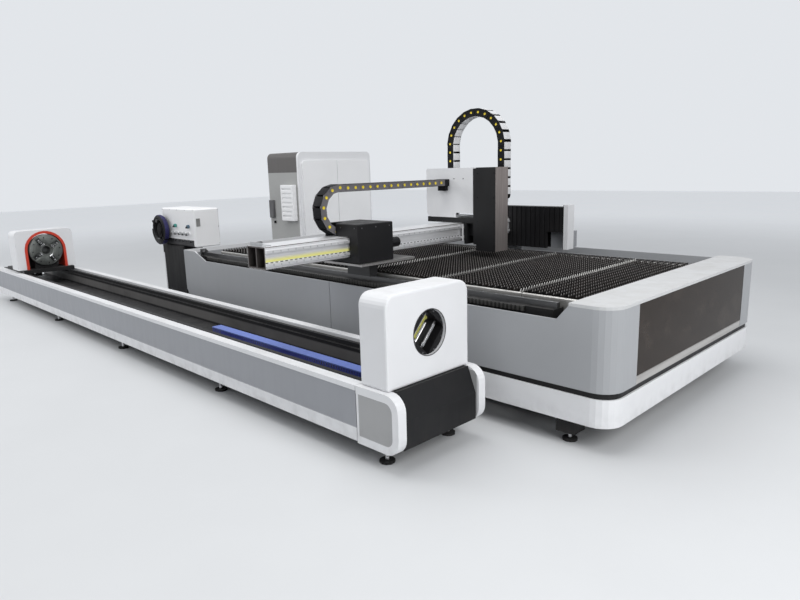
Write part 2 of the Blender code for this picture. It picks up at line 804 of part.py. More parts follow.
def slat_table():
    edges = [table_x1, *borders]
    for index, (high, low) in enumerate(zip(edges, edges[1:])):
        slat_module(index + 1, low + MODULE_GAP / 2, high - MODULE_GAP / 2)


def rails():
    bottom = RAIL_SEAT_TOP + SEAT
    for name, y in (("near_rail", near_rail_y), ("far_rail", far_rail_y)):
        rail = block((rail_x0, y - RAIL_WIDTH / 2, bottom), (rail_x1, y + RAIL_WIDTH / 2, rail_top))
        end = block(
            (rail_x0 + SINK, y - BUFFER_RADIUS, bottom),
            (rail_x0 + SINK + RAIL_WIDTH, y + BUFFER_RADIUS, rail_top + BUFFER_RADIUS),
        )
        stop_x = rail_x0 + SINK + RAIL_WIDTH - SINK
        stop_end = (stop_x + BUFFER_LENGTH, y, rail_top)
        buffer = rod((stop_x, y, rail_top), stop_end, BUFFER_RADIUS - SINK, sides=12)
        join(rail, end, buffer)
        part(rail, name, CHARCOAL, 0.4, 0.5)


def near_rack():
    """The toothed rack beside the near rail, its teeth turned to the near side."""
    back = near_rail_y - RAIL_SEAT_WIDTH / 2 - SEAT
    root = back - RACK_DEPTH + RACK_TOOTH
    count = round((rail_x1 - rail_x0 - RAIL_RIGHT_INSET) / RACK_PITCH)
    start = rail_x0 + RAIL_RIGHT_INSET / 2
    points = [(start + RACK_PITCH * count, back), (start, back), (start, root)]
    for i in range(count):
        x = start + RACK_PITCH * i
        points += [(x + RACK_PITCH / 2, root - RACK_TOOTH), (x + RACK_PITCH, root)]
    rack = slab([points], "Z", RAIL_SEAT_TOP - RACK_HEIGHT, RAIL_SEAT_TOP)
    part(rack, "near_rack", STEEL, 0.4, 0.8)


def scrap_tray():
    x0, x1 = bay_x0 + TRAY_MARGIN, bay_x1 - TRAY_MARGIN
    y0, y1 = bay_y0 + TRAY_MARGIN, bay_y1 - TRAY_MARGIN
    bottom = tray_beam_bottom + TRAY_BEAM_DEPTH + SEAT
    tray = block((x0, y0, bottom), (x1, y1, bottom + TRAY_DEPTH))
    wall = TRAY_WALL
    over = bottom + TRAY_DEPTH + OVERRUN
    cut(tray, block((x0 + wall, y0 + wall, bottom + wall), (x1 - wall, y1 - wall, over)))
    part(tray, "scrap_tray", DARK_GREY, 0.6, 0.7)


# Layout of the tube bed
cheek_joint_x = tube_x1 - CAP_LENGTH
frame_half = TUBE_BED_WIDTH / 2 - CHEEK_STANDOFF
tube_rail_top = TUBE_FRAME_TOP + TUBE_RAIL_HEIGHT
chuck_block_x1 = tube_x1 - CHUCK_BLOCK_END
chuck_seat = CHEEK_TOP


def tube_bed_frame():
    """A channel with a rail on each wall, a block under the front chuck, and feet."""
    half = frame_half - SEAT
    inner = half - TUBE_FRAME_WALL
    rail_out = half - TUBE_RAIL_INSET
    rail_in = rail_out - TUBE_RAIL_WIDTH
    right = [
        (half, TUBE_FRAME_BOTTOM), (half, TUBE_FRAME_TOP), (rail_out, TUBE_FRAME_TOP),
        (rail_out, tube_rail_top), (rail_in, tube_rail_top), (rail_in, TUBE_FRAME_TOP),
        (inner, TUBE_FRAME_TOP), (inner, TUBE_FRAME_FLOOR),
    ]
    outline = [(tube_axis_y + y, z) for y, z in right]
    outline += [(tube_axis_y - y, z) for y, z in reversed(right)]
    frame = slab([outline], "X", tube_x0, chuck_block_x1 - SINK)
    seat_block = block(
        (cheek_joint_x, tube_axis_y - half + SINK, TUBE_FRAME_FLOOR - SINK),
        (chuck_block_x1, tube_axis_y + half - SINK, chuck_seat - SEAT),
    )
    pads, bolts = [], []
    for x in evenly(tube_x0 + TUBE_FOOT_INSET, tube_x1 - TUBE_FOOT_INSET, TUBE_FOOT_PAIRS):
        for side in (-1, 1):
            pad, bolt = foot(x, tube_axis_y + side * (half - TUBE_FRAME_WALL / 2), TUBE_FRAME_BOTTOM)
            pads.append(pad)
            bolts.append(bolt)
    join(frame, seat_block, merged(bolts), merged(pads))
    part(frame, "tube_bed_frame", DEEP_BLACK, 0.5)


def cheek_outline(side):
    """The section of a folded side sheet with its sunk grey field."""
    skin = TUBE_BED_WIDTH / 2
    flange = skin - CHEEK_FLANGE
    foot_y = frame_half
    points = [
        (skin, CHEEK_BOTTOM), (skin, INLAY_BOTTOM), (skin - INLAY_DEPTH, INLAY_BOTTOM + INLAY_DEPTH),
        (skin - INLAY_DEPTH, INLAY_TOP - INLAY_DEPTH), (skin, INLAY_TOP), (skin, CHEEK_TOP),
        (flange, CHEEK_TOP), (flange, TUBE_FRAME_TOP + SEAT), (flange + CHEEK_SHEET, TUBE_FRAME_TOP + SEAT),
        (flange + CHEEK_SHEET, CHEEK_TOP - CHEEK_SHEET), (skin - CHEEK_SHEET, CHEEK_TOP - CHEEK_SHEET),
        (skin - CHEEK_SHEET, CHEEK_BOTTOM + CHEEK_SHEET), (foot_y, CHEEK_BOTTOM + CHEEK_SHEET),
        (foot_y, CHEEK_BOTTOM),
    ]
    return [(tube_axis_y + side * y, z) for y, z in points]


def cheeks():
    for name, side in (("near_cheek", -1), ("far_cheek", 1)):
        cheek = slab([cheek_outline(side)], "X", tube_x0, cheek_joint_x - JOINT_GAP / 2)
        part(cheek, name, WHITE, 0.4)


def end_caps():
    """The rounded end caps of both sides, each with a sunk rounded field."""
    x0, x1 = cheek_joint_x + JOINT_GAP / 2, tube_x1
    margin = CAP_INLAY_MARGIN
    field = rounded(
        (x0 - OVERRUN, CAP_BOTTOM + margin), (x1 - margin, CHEEK_TOP - margin),
        (0, CAP_INLAY_RADIUS, CAP_INLAY_RADIUS, 0),
    )
    body = rounded((x0, CAP_BOTTOM), (x1, CHEEK_TOP), (0, CAP_RADIUS, CAP_RADIUS, 0))
    for name, skin, inside in (
        ("near_end_cap", tube_y0, tube_y0 + CHEEK_STANDOFF),
        ("far_end_cap", tube_y1, tube_y1 - CHEEK_STANDOFF),
    ):
        cap = slab([body], "Y", min(skin, inside), max(skin, inside))
        if skin == tube_y0:
            recess = slab([field], "Y", skin - OVERRUN, skin + INLAY_DEPTH)
        else:
            recess = slab([field], "Y", skin - INLAY_DEPTH, skin + OVERRUN)
        part(smooth(cut(cap, recess)), name, WHITE, 0.4)


def chute():
    """The folded sheet under the front chuck that cut pieces slide down."""
    x0 = chuck_block_x1 + SEAT
    x1 = x0 + CHUTE_RUN
    fold = chuck_seat - CHUTE_DROP
    outline = [
        (x0, chuck_seat), (x0, chuck_seat - CHUTE_SHEET * 2), (x1 - CHUTE_SHEET, fold - CHUTE_SHEET),
        (x1 - CHUTE_SHEET, CHUTE_BOTTOM), (x1, CHUTE_BOTTOM), (x1, fold), (x0 + CHUTE_SHEET, chuck_seat),
    ]
    half = frame_half - SEAT
    part(slab([outline], "Y", tube_axis_y - half, tube_axis_y + half), "chute", DEEP_BLACK, 0.35)


def cable_duct():
    x1 = tube_x1 - DUCT_FROM_END
    y0 = tube_axis_y - DUCT_OFFSET - DUCT_WIDTH / 2
    y1 = y0 + DUCT_WIDTH
    z0 = TUBE_FRAME_FLOOR + SEAT
    z1 = z0 + DUCT_HEIGHT
    outer = [(y0, z0), (y1, z0), (y1, z1), (y0, z1)]
    w = DUCT_WALL
    inner = [(y0 + w, z0 + w), (y0 + w, z1 - w), (y1 - w, z1 - w), (y1 - w, z0 + w)]
    part(slab([outer, inner], "X", x1 - DUCT_LENGTH, x1), "cable_duct", DUCT_BLUE, 0.5)


class ChainPath:
    """A straight run, a half turn to the right and a straight run back, measured
    along the middle of the chain."""

    def __init__(self, start, heading, first, radius, last):
        self.start = Vector(start)
        self.heading = Vector((math.cos(heading), math.sin(heading)))
        self.side = Vector((self.heading.y, -self.heading.x))
        self.first = first
        self.radius = radius
        self.length = first + math.pi * radius + last

    def at(self, s, offset):
        """The point at a length along the chain and an offset to its outer side."""
        bend = math.pi * self.radius
        if s < self.first:
            return self.start + self.heading * s - self.side * offset
        centre = self.start + self.heading * self.first + self.side * self.radius
        reach = self.radius + offset
        if s < self.first + bend:
            turn = (s - self.first) / self.radius
            return centre - self.side * (reach * math.cos(turn)) + self.heading * (reach * math.sin(turn))
        return centre + self.side * reach - self.heading * (s - self.first - bend)


def chain(path, pitch, height, axis, start, end, pins=True):
    """Links as one outline with a notch at each joint, and a row of pins."""
    links = round(path.length / pitch)
    pitch = path.length / links
    half = height / 2
    notch = pitch * CHAIN_NOTCH_SHARE
    rows = []
    for side in (1, -1):
        row = [path.at(0, side * half)]
        for i in range(1, links):
            s = pitch * i
            low = side * (half - CHAIN_NOTCH)
            row += [path.at(s - notch, side * half), path.at(s - notch, low)]
            row += [path.at(s + notch, low), path.at(s + notch, side * half)]
        rows.append(row + [path.at(path.length, side * half)])
    outline = [tuple(p) for p in rows[0] + rows[1][::-1]]
    body = slab([outline], axis, start, end)
    if not pins:
        return body
    low, high = start - PIN_PROUD, end + PIN_PROUD
    bars = []
    for i in range(links):
        u, v = path.at(pitch * (i + 0.5), 0)
        ends = ((low, u, v), (high, u, v)) if axis == "X" else ((u, low, v), (u, high, v))
        bars.append(rod(*ends, PIN_RADIUS, sides=PIN_SIDES))
    return join(body, merged(bars))


# Layout of the chucks
rear_front_x = tube_x0 + REAR_FACE_FROM_END
rear_back_x = rear_front_x - REAR_HOUSING_DEPTH
base_bottom = tube_rail_top + SEAT
front_chuck_x1 = tube_x1 - FRONT_CHUCK_FROM_CAP
front_chuck_x0 = front_chuck_x1 - FRONT_CHUCK_DEPTH


def tube_chain():
    """The rear chuck's energy chain, laid out on the floor of the tube bed."""
    low = TUBE_FRAME_FLOOR + SEAT + TUBE_CHAIN_HEIGHT / 2
    high = base_bottom - SEAT - TUBE_CHAIN_HEIGHT / 2
    radius = (high - low) / 2
    fixed_x = rear_front_x + TUBE_CHAIN_LENGTH
    bend_x = rear_front_x - TUBE_CHAIN_RETURN
    path = ChainPath((fixed_x, low), math.pi, fixed_x - bend_x, radius, TUBE_CHAIN_RETURN)
    y = tube_axis_y - TUBE_CHAIN_OFFSET
    made = chain(
        path, TUBE_CHAIN_PITCH, TUBE_CHAIN_HEIGHT, "Y",
        y - TUBE_CHAIN_WIDTH / 2, y + TUBE_CHAIN_WIDTH / 2, pins=False,
    )
    part(made, "tube_chain", DEEP_BLACK, 0.5)


def front_chuck_housing():
    """A rounded casing with a round opening through it and a ring of room inside."""
    outline = rounded(
        (tube_axis_y - CHUCK_HALF_WIDTH, chuck_seat), (tube_axis_y + CHUCK_HALF_WIDTH, FRONT_CHUCK_TOP),
        (0, 0, FRONT_CHUCK_RADIUS, FRONT_CHUCK_RADIUS),
    )
    housing = slab([outline], "X", front_chuck_x0, front_chuck_x1)
    centre = (tube_axis_y, TUBE_AXIS_HEIGHT)
    bore_ends = (front_chuck_x0 - OVERRUN, *centre), (front_chuck_x1 + OVERRUN, *centre)
    bore = rod(*bore_ends, FRONT_BORE_RADIUS, sides=32)
    room_ends = (front_chuck_x0 + FRONT_LIP, *centre), (front_chuck_x1 - FRONT_LIP, *centre)
    room = rod(*room_ends, ROTOR_RADIUS, sides=32)
    bevel(housing, FRONT_CHUCK_EDGE, 2)
    cut(housing, bore, room)
    part(smooth(housing), "front_chuck_housing", WHITE, 0.35)


def spun(points, angle):
    """Points in the plane of a chuck, turned about the tube axis."""
    c, s = math.cos(angle), math.sin(angle)
    return [(tube_axis_y + y * c + z * s, TUBE_AXIS_HEIGHT + z * c - y * s) for y, z in points]


def front_chuck_rotor():
    """The ring that turns inside the front chuck, with the window its jaws slide in."""
    ring = arc((tube_axis_y, TUBE_AXIS_HEIGHT), ROTOR_RADIUS - ROTOR_FIT, 0, 360 - 360 / 32, 31)
    long, wide = ROTOR_WINDOW_LONG, ROTOR_WINDOW_WIDE
    window = spun([(-wide, -long), (-wide, long), (wide, long), (wide, -long)], FRONT_ROTOR_ANGLE)
    gap = FRONT_LIP + SEAT
    rotor = slab([ring, window], "X", front_chuck_x0 + gap, front_chuck_x1 - gap)
    part(smooth(rotor), "front_chuck_rotor", DEEP_BLACK, 0.4, 0.5)


def front_jaws():
    middle = (front_chuck_x0 + front_chuck_x1) / 2
    reach = ROTOR_WINDOW_LONG - SEAT
    for index, side in ((1, -1), (2, 1)):
        inner = side * (FRONT_JAW_OFFSET - FRONT_JAW_THICKNESS / 2)
        outer = side * (FRONT_JAW_OFFSET + FRONT_JAW_THICKNESS / 2)
        outline = spun([(inner, -reach), (outer, -reach), (outer, reach), (inner, reach)], FRONT_ROTOR_ANGLE)
        jaw = slab([outline], "X", middle - FRONT_JAW_DEPTH / 2, middle + FRONT_JAW_DEPTH / 2)
        part(jaw, "front_jaw_%d" % index, STEEL, 0.35, 0.8)


def rear_carriage():
    """The base on the tube rails with the bearing block of the rear spindle."""
    base = block(
        (rear_back_x - REAR_BASE_BACK, tube_axis_y - REAR_BASE_HALF_WIDTH, base_bottom),
        (rear_front_x + REAR_BASE_FRONT, tube_axis_y + REAR_BASE_HALF_WIDTH, REAR_HOUSING_BOTTOM - SEAT),
    )
    block_x1 = rear_front_x + DISC_PROUD - DISC_THICKNESS - SPINDLE_FIT
    half = BEARING_BLOCK_WIDTH / 2
    bearing = slab(
        [rounded(
            (tube_axis_y - half, REAR_HOUSING_BOTTOM - SINK), (tube_axis_y + half, BEARING_BLOCK_TOP),
            (0, 0, half, half),
        )],
        "X", rear_back_x + SINK, block_x1,
    )
    bore = rod(
        (rear_back_x - OVERRUN, tube_axis_y, TUBE_AXIS_HEIGHT),
        (block_x1 + OVERRUN, tube_axis_y, TUBE_AXIS_HEIGHT),
        SPINDLE_RADIUS, sides=32,
    )
    part(smooth(cut(join(base, bearing), bore)), "rear_carriage", DEEP_BLACK, 0.5)


def rear_chuck_housing():
    """A white casing with rounded top corners and an arch cut through it."""
    outer = rounded(
        (tube_axis_y - CHUCK_HALF_WIDTH, REAR_HOUSING_BOTTOM),
        (tube_axis_y + CHUCK_HALF_WIDTH, REAR_HOUSING_TOP),
        (0, 0, REAR_HOUSING_RADIUS, REAR_HOUSING_RADIUS),
    )
    arch = [(tube_axis_y + ARCH_RADIUS, REAR_HOUSING_BOTTOM)]
    arch += arc((tube_axis_y, TUBE_AXIS_HEIGHT), ARCH_RADIUS, 0, 180, 16)
    arch += [(tube_axis_y - ARCH_RADIUS, REAR_HOUSING_BOTTOM)]
    outline = [*outer, *reversed(arch)]
    split = next(i for i, (y, z) in enumerate(outline) if y > tube_axis_y)
    outline = [*outer[:split], *reversed(arch), *outer[split:]]
    housing = slab([outline], "X", rear_back_x, rear_front_x)
    part(smooth(housing), "rear_chuck_housing", WHITE, 0.35)


def rear_rim():
    """The red-orange rim that lines the arch."""
    outer = ARCH_RADIUS - SEAT
    inner = outer - RIM_THICKNESS
    centre = (tube_axis_y, TUBE_AXIS_HEIGHT)
    outline = [(tube_axis_y + outer, REAR_HOUSING_BOTTOM), *arc(centre, outer, 0, 180, 16)]
    outline += [(tube_axis_y - outer, REAR_HOUSING_BOTTOM), (tube_axis_y - inner, REAR_HOUSING_BOTTOM)]
    outline += [*reversed(arc(centre, inner, 0, 180, 16)), (tube_axis_y + inner, REAR_HOUSING_BOTTOM)]
    part(smooth(slab([outline], "X", rear_back_x, rear_front_x + RIM_PROUD)), "rear_rim", RIM_RED, 0.4)


def rear_chuck_disc():
    """The face plate and hollow spindle of the rear chuck, turned in one profile."""
    front = DISC_PROUD
    back = front - DISC_THICKNESS
    tail = -REAR_HOUSING_DEPTH
    journal = SPINDLE_RADIUS - SPINDLE_FIT
    profile = [
        (SPINDLE_BORE, front), (DISC_RADIUS - SINK, front), (DISC_RADIUS, front - SINK),
        (DISC_RADIUS, back), (journal, back), (journal, tail), (SPINDLE_BORE, tail),
    ]
    disc = turned(profile, "X", (rear_front_x, tube_axis_y, TUBE_AXIS_HEIGHT))
    part(smooth(disc), "rear_chuck_disc", STEEL, 0.35, 0.8)


def rear_jaws():
    """Four stepped jaws that slide in and out across the face plate."""
    face = rear_front_x + DISC_PROUD + SEAT
    step = REAR_JAW_LENGTH * REAR_JAW_STEP
    for index in range(4):
        angle = REAR_JAW_ANGLE + math.radians(90) * index
        half = REAR_JAW_WIDTH / 2
        inner, outer = REAR_JAW_INNER, REAR_JAW_INNER + REAR_JAW_LENGTH
        low = spun([(-half, inner), (half, inner), (half, outer), (-half, outer)], angle)
        jaw = slab([low], "X", face, face + REAR_JAW_DEPTH / 2)
        narrow = half - SINK
        high = spun(
            [
                (-narrow, inner + SINK), (narrow, inner + SINK),
                (narrow, inner + step), (-narrow, inner + step),
            ],
            angle,
        )
        join(jaw, slab([high], "X", face + REAR_JAW_DEPTH / 2 - SINK, face + REAR_JAW_DEPTH))
        part(jaw, "rear_jaw_%d" % (index + 1), STEEL, 0.3, 0.9)


def rear_motor():
    """The grey drive housing behind the rear chuck."""
    x1 = rear_back_x - SEAT
    outline = rounded(
        (tube_axis_y - REAR_MOTOR_HALF_WIDTH, REAR_HOUSING_BOTTOM),
        (tube_axis_y + REAR_MOTOR_HALF_WIDTH, REAR_HOUSING_BOTTOM + REAR_MOTOR_HEIGHT),
        (0, 0, REAR_MOTOR_RADIUS, REAR_MOTOR_RADIUS),
    )
    motor = slab([outline], "X", x1 - REAR_MOTOR_LENGTH, x1)
    bore = rod(
        (x1 - REAR_MOTOR_LENGTH - OVERRUN, tube_axis_y, TUBE_AXIS_HEIGHT),
        (x1 + OVERRUN, tube_axis_y, TUBE_AXIS_HEIGHT),
        SPINDLE_BORE, sides=20,
    )
    part(smooth(cut(motor, bore)), "rear_motor", DARK_GREY, 0.45)


# Layout of the gantry
beam_x1 = plate_x1 - BEAM_FRONT_FROM_END
beam_x0 = beam_x1 - BEAM_DEPTH
beam_y0 = plate_y0 - BEAM_NEAR_REACH
beam_y1 = plate_y1 - BEAM_FAR_INSET
beam_rail_x = beam_x1 + BEAM_RAIL_PROUD
slider_x0 = (beam_x0 + beam_x1) / 2 - SLIDER_LENGTH / 2
slider_x1 = slider_x0 + SLIDER_LENGTH
slider_bottom = rail_top + SEAT
base_top = BASE_PLATE_BOTTOM + BASE_PLATE_THICKNESS
cover_y0 = plate_y0 - NEAR_COVER_NEAR
cover_y1 = cover_y0 + NEAR_COVER_WIDTH
cover_x0 = beam_x0 - NEAR_COVER_BACK
cover_x1 = beam_x1 + NEAR_COVER_FRONT


def gantry_beam():
    """An aluminium box section with two cells and a guide rail at each front edge."""
    edge = BEAM_EDGE
    low, high = BEAM_BOTTOM + BEAM_RAIL_INSET, BEAM_TOP - BEAM_RAIL_INSET
    outline = [
        (beam_x0 + edge, BEAM_BOTTOM), (beam_x1 - edge, BEAM_BOTTOM), (beam_x1, BEAM_BOTTOM + edge),
        (beam_x1, low), (beam_rail_x, low), (beam_rail_x, low + BEAM_RAIL_HEIGHT),
        (beam_x1, low + BEAM_RAIL_HEIGHT), (beam_x1, high - BEAM_RAIL_HEIGHT),
        (beam_rail_x, high - BEAM_RAIL_HEIGHT), (beam_rail_x, high), (beam_x1, high),
        (beam_x1, BEAM_TOP - edge), (beam_x1 - edge, BEAM_TOP), (beam_x0 + edge, BEAM_TOP),
        (beam_x0, BEAM_TOP - edge), (beam_x0, BEAM_BOTTOM + edge),
    ]
    wall = BEAM_WALL
    middle = (beam_x0 + beam_x1) / 2
    floor, roof = BEAM_BOTTOM + wall, BEAM_TOP - wall
    cells = [
        [(u0, floor), (u0, roof), (u1, roof), (u1, floor)]
        for u0, u1 in ((beam_x0 + wall, middle - wall / 2), (middle + wall / 2, beam_x1 - wall))
    ]
    part(slab([outline, *cells], "Y", beam_y0, beam_y1), "gantry_beam", ALUMINIUM, 0.3, 0.9)


def near_carriage():
    """The slider on the near rail, the base plate and the pad under the beam."""
    base = block(
        (cover_x0 - BASE_PLATE_BACK, cover_y0 - SINK, BASE_PLATE_BOTTOM),
        (beam_x1 + BASE_PLATE_FRONT, plate_y0 + BASE_PLATE_FAR, base_top),
    )
    slider = block(
        (slider_x0, near_rail_y - SLIDER_WIDTH / 2, slider_bottom),
        (slider_x1, near_rail_y + SLIDER_WIDTH / 2, BASE_PLATE_BOTTOM + SINK),
    )
    pad = block(
        (beam_x0 + SINK, cover_y0 + BASE_PLATE_NEAR, base_top - SINK),
        (beam_x1 - SINK, cover_y1 - BASE_PLATE_NEAR, BEAM_BOTTOM - SEAT),
    )
    part(join(base, slider, pad), "near_carriage", STEEL, 0.4, 0.8)


far_cover_y1 = far_rail_y - SLIDER_WIDTH / 2 - FAR_COVER_GAP
far_cover_y0 = far_cover_y1 - FAR_COVER_WIDTH


def far_carriage():
    """The slider on the far rail, and the box on its shelf that carries the far cover."""
    far_x1 = beam_x0 - FAR_COVER_BACK + FAR_COVER_LENGTH - SINK
    base = block(
        (slider_x0, far_rail_y - SLIDER_WIDTH / 2, slider_bottom),
        (slider_x1, far_rail_y + SLIDER_WIDTH / 2, BEAM_BOTTOM - SEAT),
    )
    shelf = block(
        (slider_x0 + SINK, far_cover_y1 + SEAT, FAR_COVER_BOTTOM + SINK),
        (
            far_x1 - CASING_WALL - SINK, far_rail_y + SLIDER_WIDTH,
            FAR_COVER_BOTTOM + SINK + BASE_PLATE_THICKNESS,
        ),
    )
    box = block(
        (far_x1 - FAR_NOTCH_LENGTH + SINK * 2, far_rail_y - SLIDER_WIDTH - SINK, FAR_COVER_BOTTOM),
        (far_x1 - SEAT, far_rail_y + SLIDER_WIDTH + SINK, FAR_NOTCH_TOP - SEAT),
    )
    part(join(base, shelf, box), "far_carriage", PANEL_GREY, 0.45)


def beam_opening(y0, y1):
    """A cutter that lets the beam and its rails through a cover's wall."""
    return block((beam_x0 - SEAT, y0, BEAM_BOTTOM - SEAT), (beam_rail_x + SEAT, y1, BEAM_TOP + SEAT))


def near_drive_cover():
    """The black casing over the near carriage, open below, with the beam through it."""
    bottom = base_top + SEAT
    cover = block((cover_x0, cover_y0, bottom), (cover_x1, cover_y1, NEAR_COVER_TOP))
    bevel(cover, COVER_EDGE)
    w = CASING_WALL
    cavity = block(
        (cover_x0 + w, cover_y0 + w, bottom - OVERRUN), (cover_x1 - w, cover_y1 - w, NEAR_COVER_TOP - w)
    )
    beam_way = beam_opening(cover_y0 - OVERRUN, cover_y1 + OVERRUN)
    chain_x0 = y_chain_x0 - SINK
    chain_way = block(
        (chain_x0, cover_y0 - OVERRUN, BEAM_TOP - SINK),
        (
            y_chain_x0 + Y_CHAIN_WIDTH + SINK,
            cover_y0 + Y_CHAIN_BEND_FROM_COVER + OVERRUN,
            NEAR_COVER_TOP + OVERRUN,
        ),
    )
    motor_way = rod(
        (motor_x, cover_y1 - OVERRUN, MOTOR_HEIGHT), (motor_x, cover_y1 + OVERRUN, MOTOR_HEIGHT),
        MOTOR_RADIUS + SEAT, sides=20,
    )
    cut(cover, cavity, beam_way, chain_way, motor_way)
    part(cover, "near_drive_cover", DEEP_BLACK, 0.45)


motor_x = beam_rail_x + MOTOR_GAP + MOTOR_RADIUS
y_chain_x0 = beam_x0 - Y_CHAIN_BACK


def drive_motor():
    y1 = cover_y1 + MOTOR_PROUD
    motor_ends = (motor_x, y1 - MOTOR_LENGTH, MOTOR_HEIGHT), (motor_x, y1, MOTOR_HEIGHT)
    motor = rod(*motor_ends, MOTOR_RADIUS, sides=20)
    part(smooth(bevel(motor, COVER_EDGE, 2)), "drive_motor", DEEP_BLACK, 0.4)


def far_drive_cover():
    """The long ribbed casing before the gantry's far rail, with its cap plate."""
    x0 = beam_x0 - FAR_COVER_BACK
    x1 = x0 + FAR_COVER_LENGTH
    y0, y1 = far_cover_y0, far_cover_y1
    cover = block((x0, y0, FAR_COVER_BOTTOM), (x1, y1, FAR_COVER_TOP))
    ribs = round((x1 - x0) / FAR_RIB_PITCH)
    pitch = (x1 - x0) / ribs
    half = pitch / 4
    grooves = []
    for i in range(1, ribs):
        x = x0 + pitch * i
        groove = [(x - half, y0 - FAR_RIB_DEPTH), (x, y0 + FAR_RIB_DEPTH), (x + half, y0 - FAR_RIB_DEPTH)]
        grooves.append(slab([groove], "Z", FAR_COVER_BOTTOM - OVERRUN, FAR_COVER_TOP + OVERRUN))
    w = CASING_WALL
    cavity = block(
        (x0 + w, y0 + FAR_RIB_DEPTH + w, FAR_COVER_BOTTOM - OVERRUN), (x1 - w, y1 - w, FAR_COVER_TOP - w)
    )
    notch = block(
        (x1 - FAR_NOTCH_LENGTH, y0 - OVERRUN, FAR_COVER_BOTTOM - OVERRUN),
        (x1 + OVERRUN, y1 + OVERRUN, FAR_NOTCH_TOP),
    )
    cap = block(
        (x1 - SINK, y0 - SINK, FAR_COVER_BOTTOM),
        (x1 + FAR_CAP_THICKNESS, y1 - SINK, FAR_COVER_TOP + FAR_CAP_RISE),
    )
    cut(cover, cavity, notch, beam_opening(y0 - OVERRUN, y1 + OVERRUN), merged(grooves))
    join(cover, cap)
    part(cover, "far_drive_cover", DEEP_BLACK, 0.5)


# Layout of the head carriage
head_y0 = plate_y0 + HEAD_FROM_NEAR_EDGE
head_y1 = head_y0 + HEAD_WIDTH
head_x0 = beam_x0 - HEAD_BACK
saddle_bottom = BEAM_TOP + SEAT
saddle_top = saddle_bottom + SADDLE_THICKNESS
backbone_x1 = beam_x1 + BACKBONE_FRONT
backbone_x0 = backbone_x1 - BACKBONE_THICKNESS
tower_x0 = backbone_x1 + SEAT
tower_x1 = tower_x0 + TOWER_DEPTH
tower_y0 = head_y0 + SINK
tower_y1 = tower_y0 + TOWER_WIDTH
chain_y0 = head_y1 + Z_CHAIN_GAP
chain_y1 = chain_y0 + Z_CHAIN_WIDTH
z_chain_left = head_x0 + Z_CHAIN_LEFT
z_chain_right = z_chain_left + Z_CHAIN_SPAN
slide_x0 = backbone_x1 + SEAT
slide_x1 = slide_x0 + SLIDE_THICKNESS


def head_carriage():
    """The saddle on the beam, the plate on its rails and the Z axis backbone."""
    saddle = block(
        (head_x0 + SINK, head_y0 + SINK, saddle_bottom),
        (backbone_x1 - SINK, head_y0 + SADDLE_REACH, saddle_top),
    )
    plate_x = beam_rail_x + SEAT
    plate = block(
        (plate_x, head_y0 + SINK * 2, FRONT_PLATE_BOTTOM),
        (plate_x + FRONT_PLATE_THICKNESS, head_y1 - SINK, saddle_top - SINK / 2),
    )
    web = block(
        (plate_x + SINK, head_y0 + HEAD_WIDTH / 4, BEAM_BOTTOM + SINK * 8),
        (backbone_x0 + SINK, head_y1 - HEAD_WIDTH / 4, saddle_top - SINK),
    )
    backbone_top = HEAD_TOP - COVER_SHEET * 2
    backbone = block((backbone_x0, tower_y0, BACKBONE_BOTTOM), (backbone_x1, tower_y1, backbone_top))
    part(join(saddle, plate, web, backbone), "head_carriage", DEEP_BLACK, 0.45, 0.3)


def head_cover_outline(inset):
    """The side view of the white cover, drawn in by a wall's thickness."""
    x1 = backbone_x0 - SEAT - inset
    x0, z1 = head_x0 + inset, HEAD_TOP - inset
    z0 = saddle_top + SEAT + inset
    step_x = x1 + inset - HEAD_NOTCH_LENGTH
    big = HEAD_COVER_RADIUS - inset
    small = HEAD_COVER_SMALL_RADIUS - inset
    points = arc((x0 + big, z0 + big), big, 180, 270)
    points += [(step_x, z0), (step_x, z0 + HEAD_NOTCH_RISE), (x1, z0 + HEAD_NOTCH_RISE)]
    points += [(x1, z1), *arc((x0 + small, z1 - small), small, 90, 180, 3)]
    return points


def head_cover():
    """The white casing over the carriage, open on its far side."""
    cover = slab([head_cover_outline(0)], "Y", head_y0, head_y1)
    cut(cover, slab([head_cover_outline(COVER_SHEET)], "Y", head_y0 + COVER_SHEET, head_y1 + OVERRUN))
    part(smooth(cover), "head_cover", WHITE, 0.35)


def z_tower():
    """A three-sided black casing round the Z axis, with a slot for the chain arm."""
    w = COVER_SHEET
    plan = [
        (tower_x0, tower_y0), (tower_x1, tower_y0), (tower_x1, tower_y1), (tower_x0, tower_y1),
        (tower_x0, tower_y1 - w), (tower_x1 - w, tower_y1 - w),
        (tower_x1 - w, tower_y0 + w), (tower_x0, tower_y0 + w),
    ]
    tower = slab([plan], "Z", TOWER_BOTTOM, HEAD_TOP - w / 2)
    lid = block(
        (tower_x0 + w / 2, tower_y0 + w / 2, HEAD_TOP - w),
        (tower_x1 - w / 2, tower_y1 - w / 2, HEAD_TOP),
    )
    slot = block(
        (z_chain_right - SLOT_HALF_WIDTH, tower_y1 - OVERRUN, SLOT_BOTTOM),
        (z_chain_right + SLOT_HALF_WIDTH, tower_y1 + OVERRUN, SLOT_TOP),
    )
    part(cut(join(tower, lid), slot), "z_tower", DEEP_BLACK, 0.35)


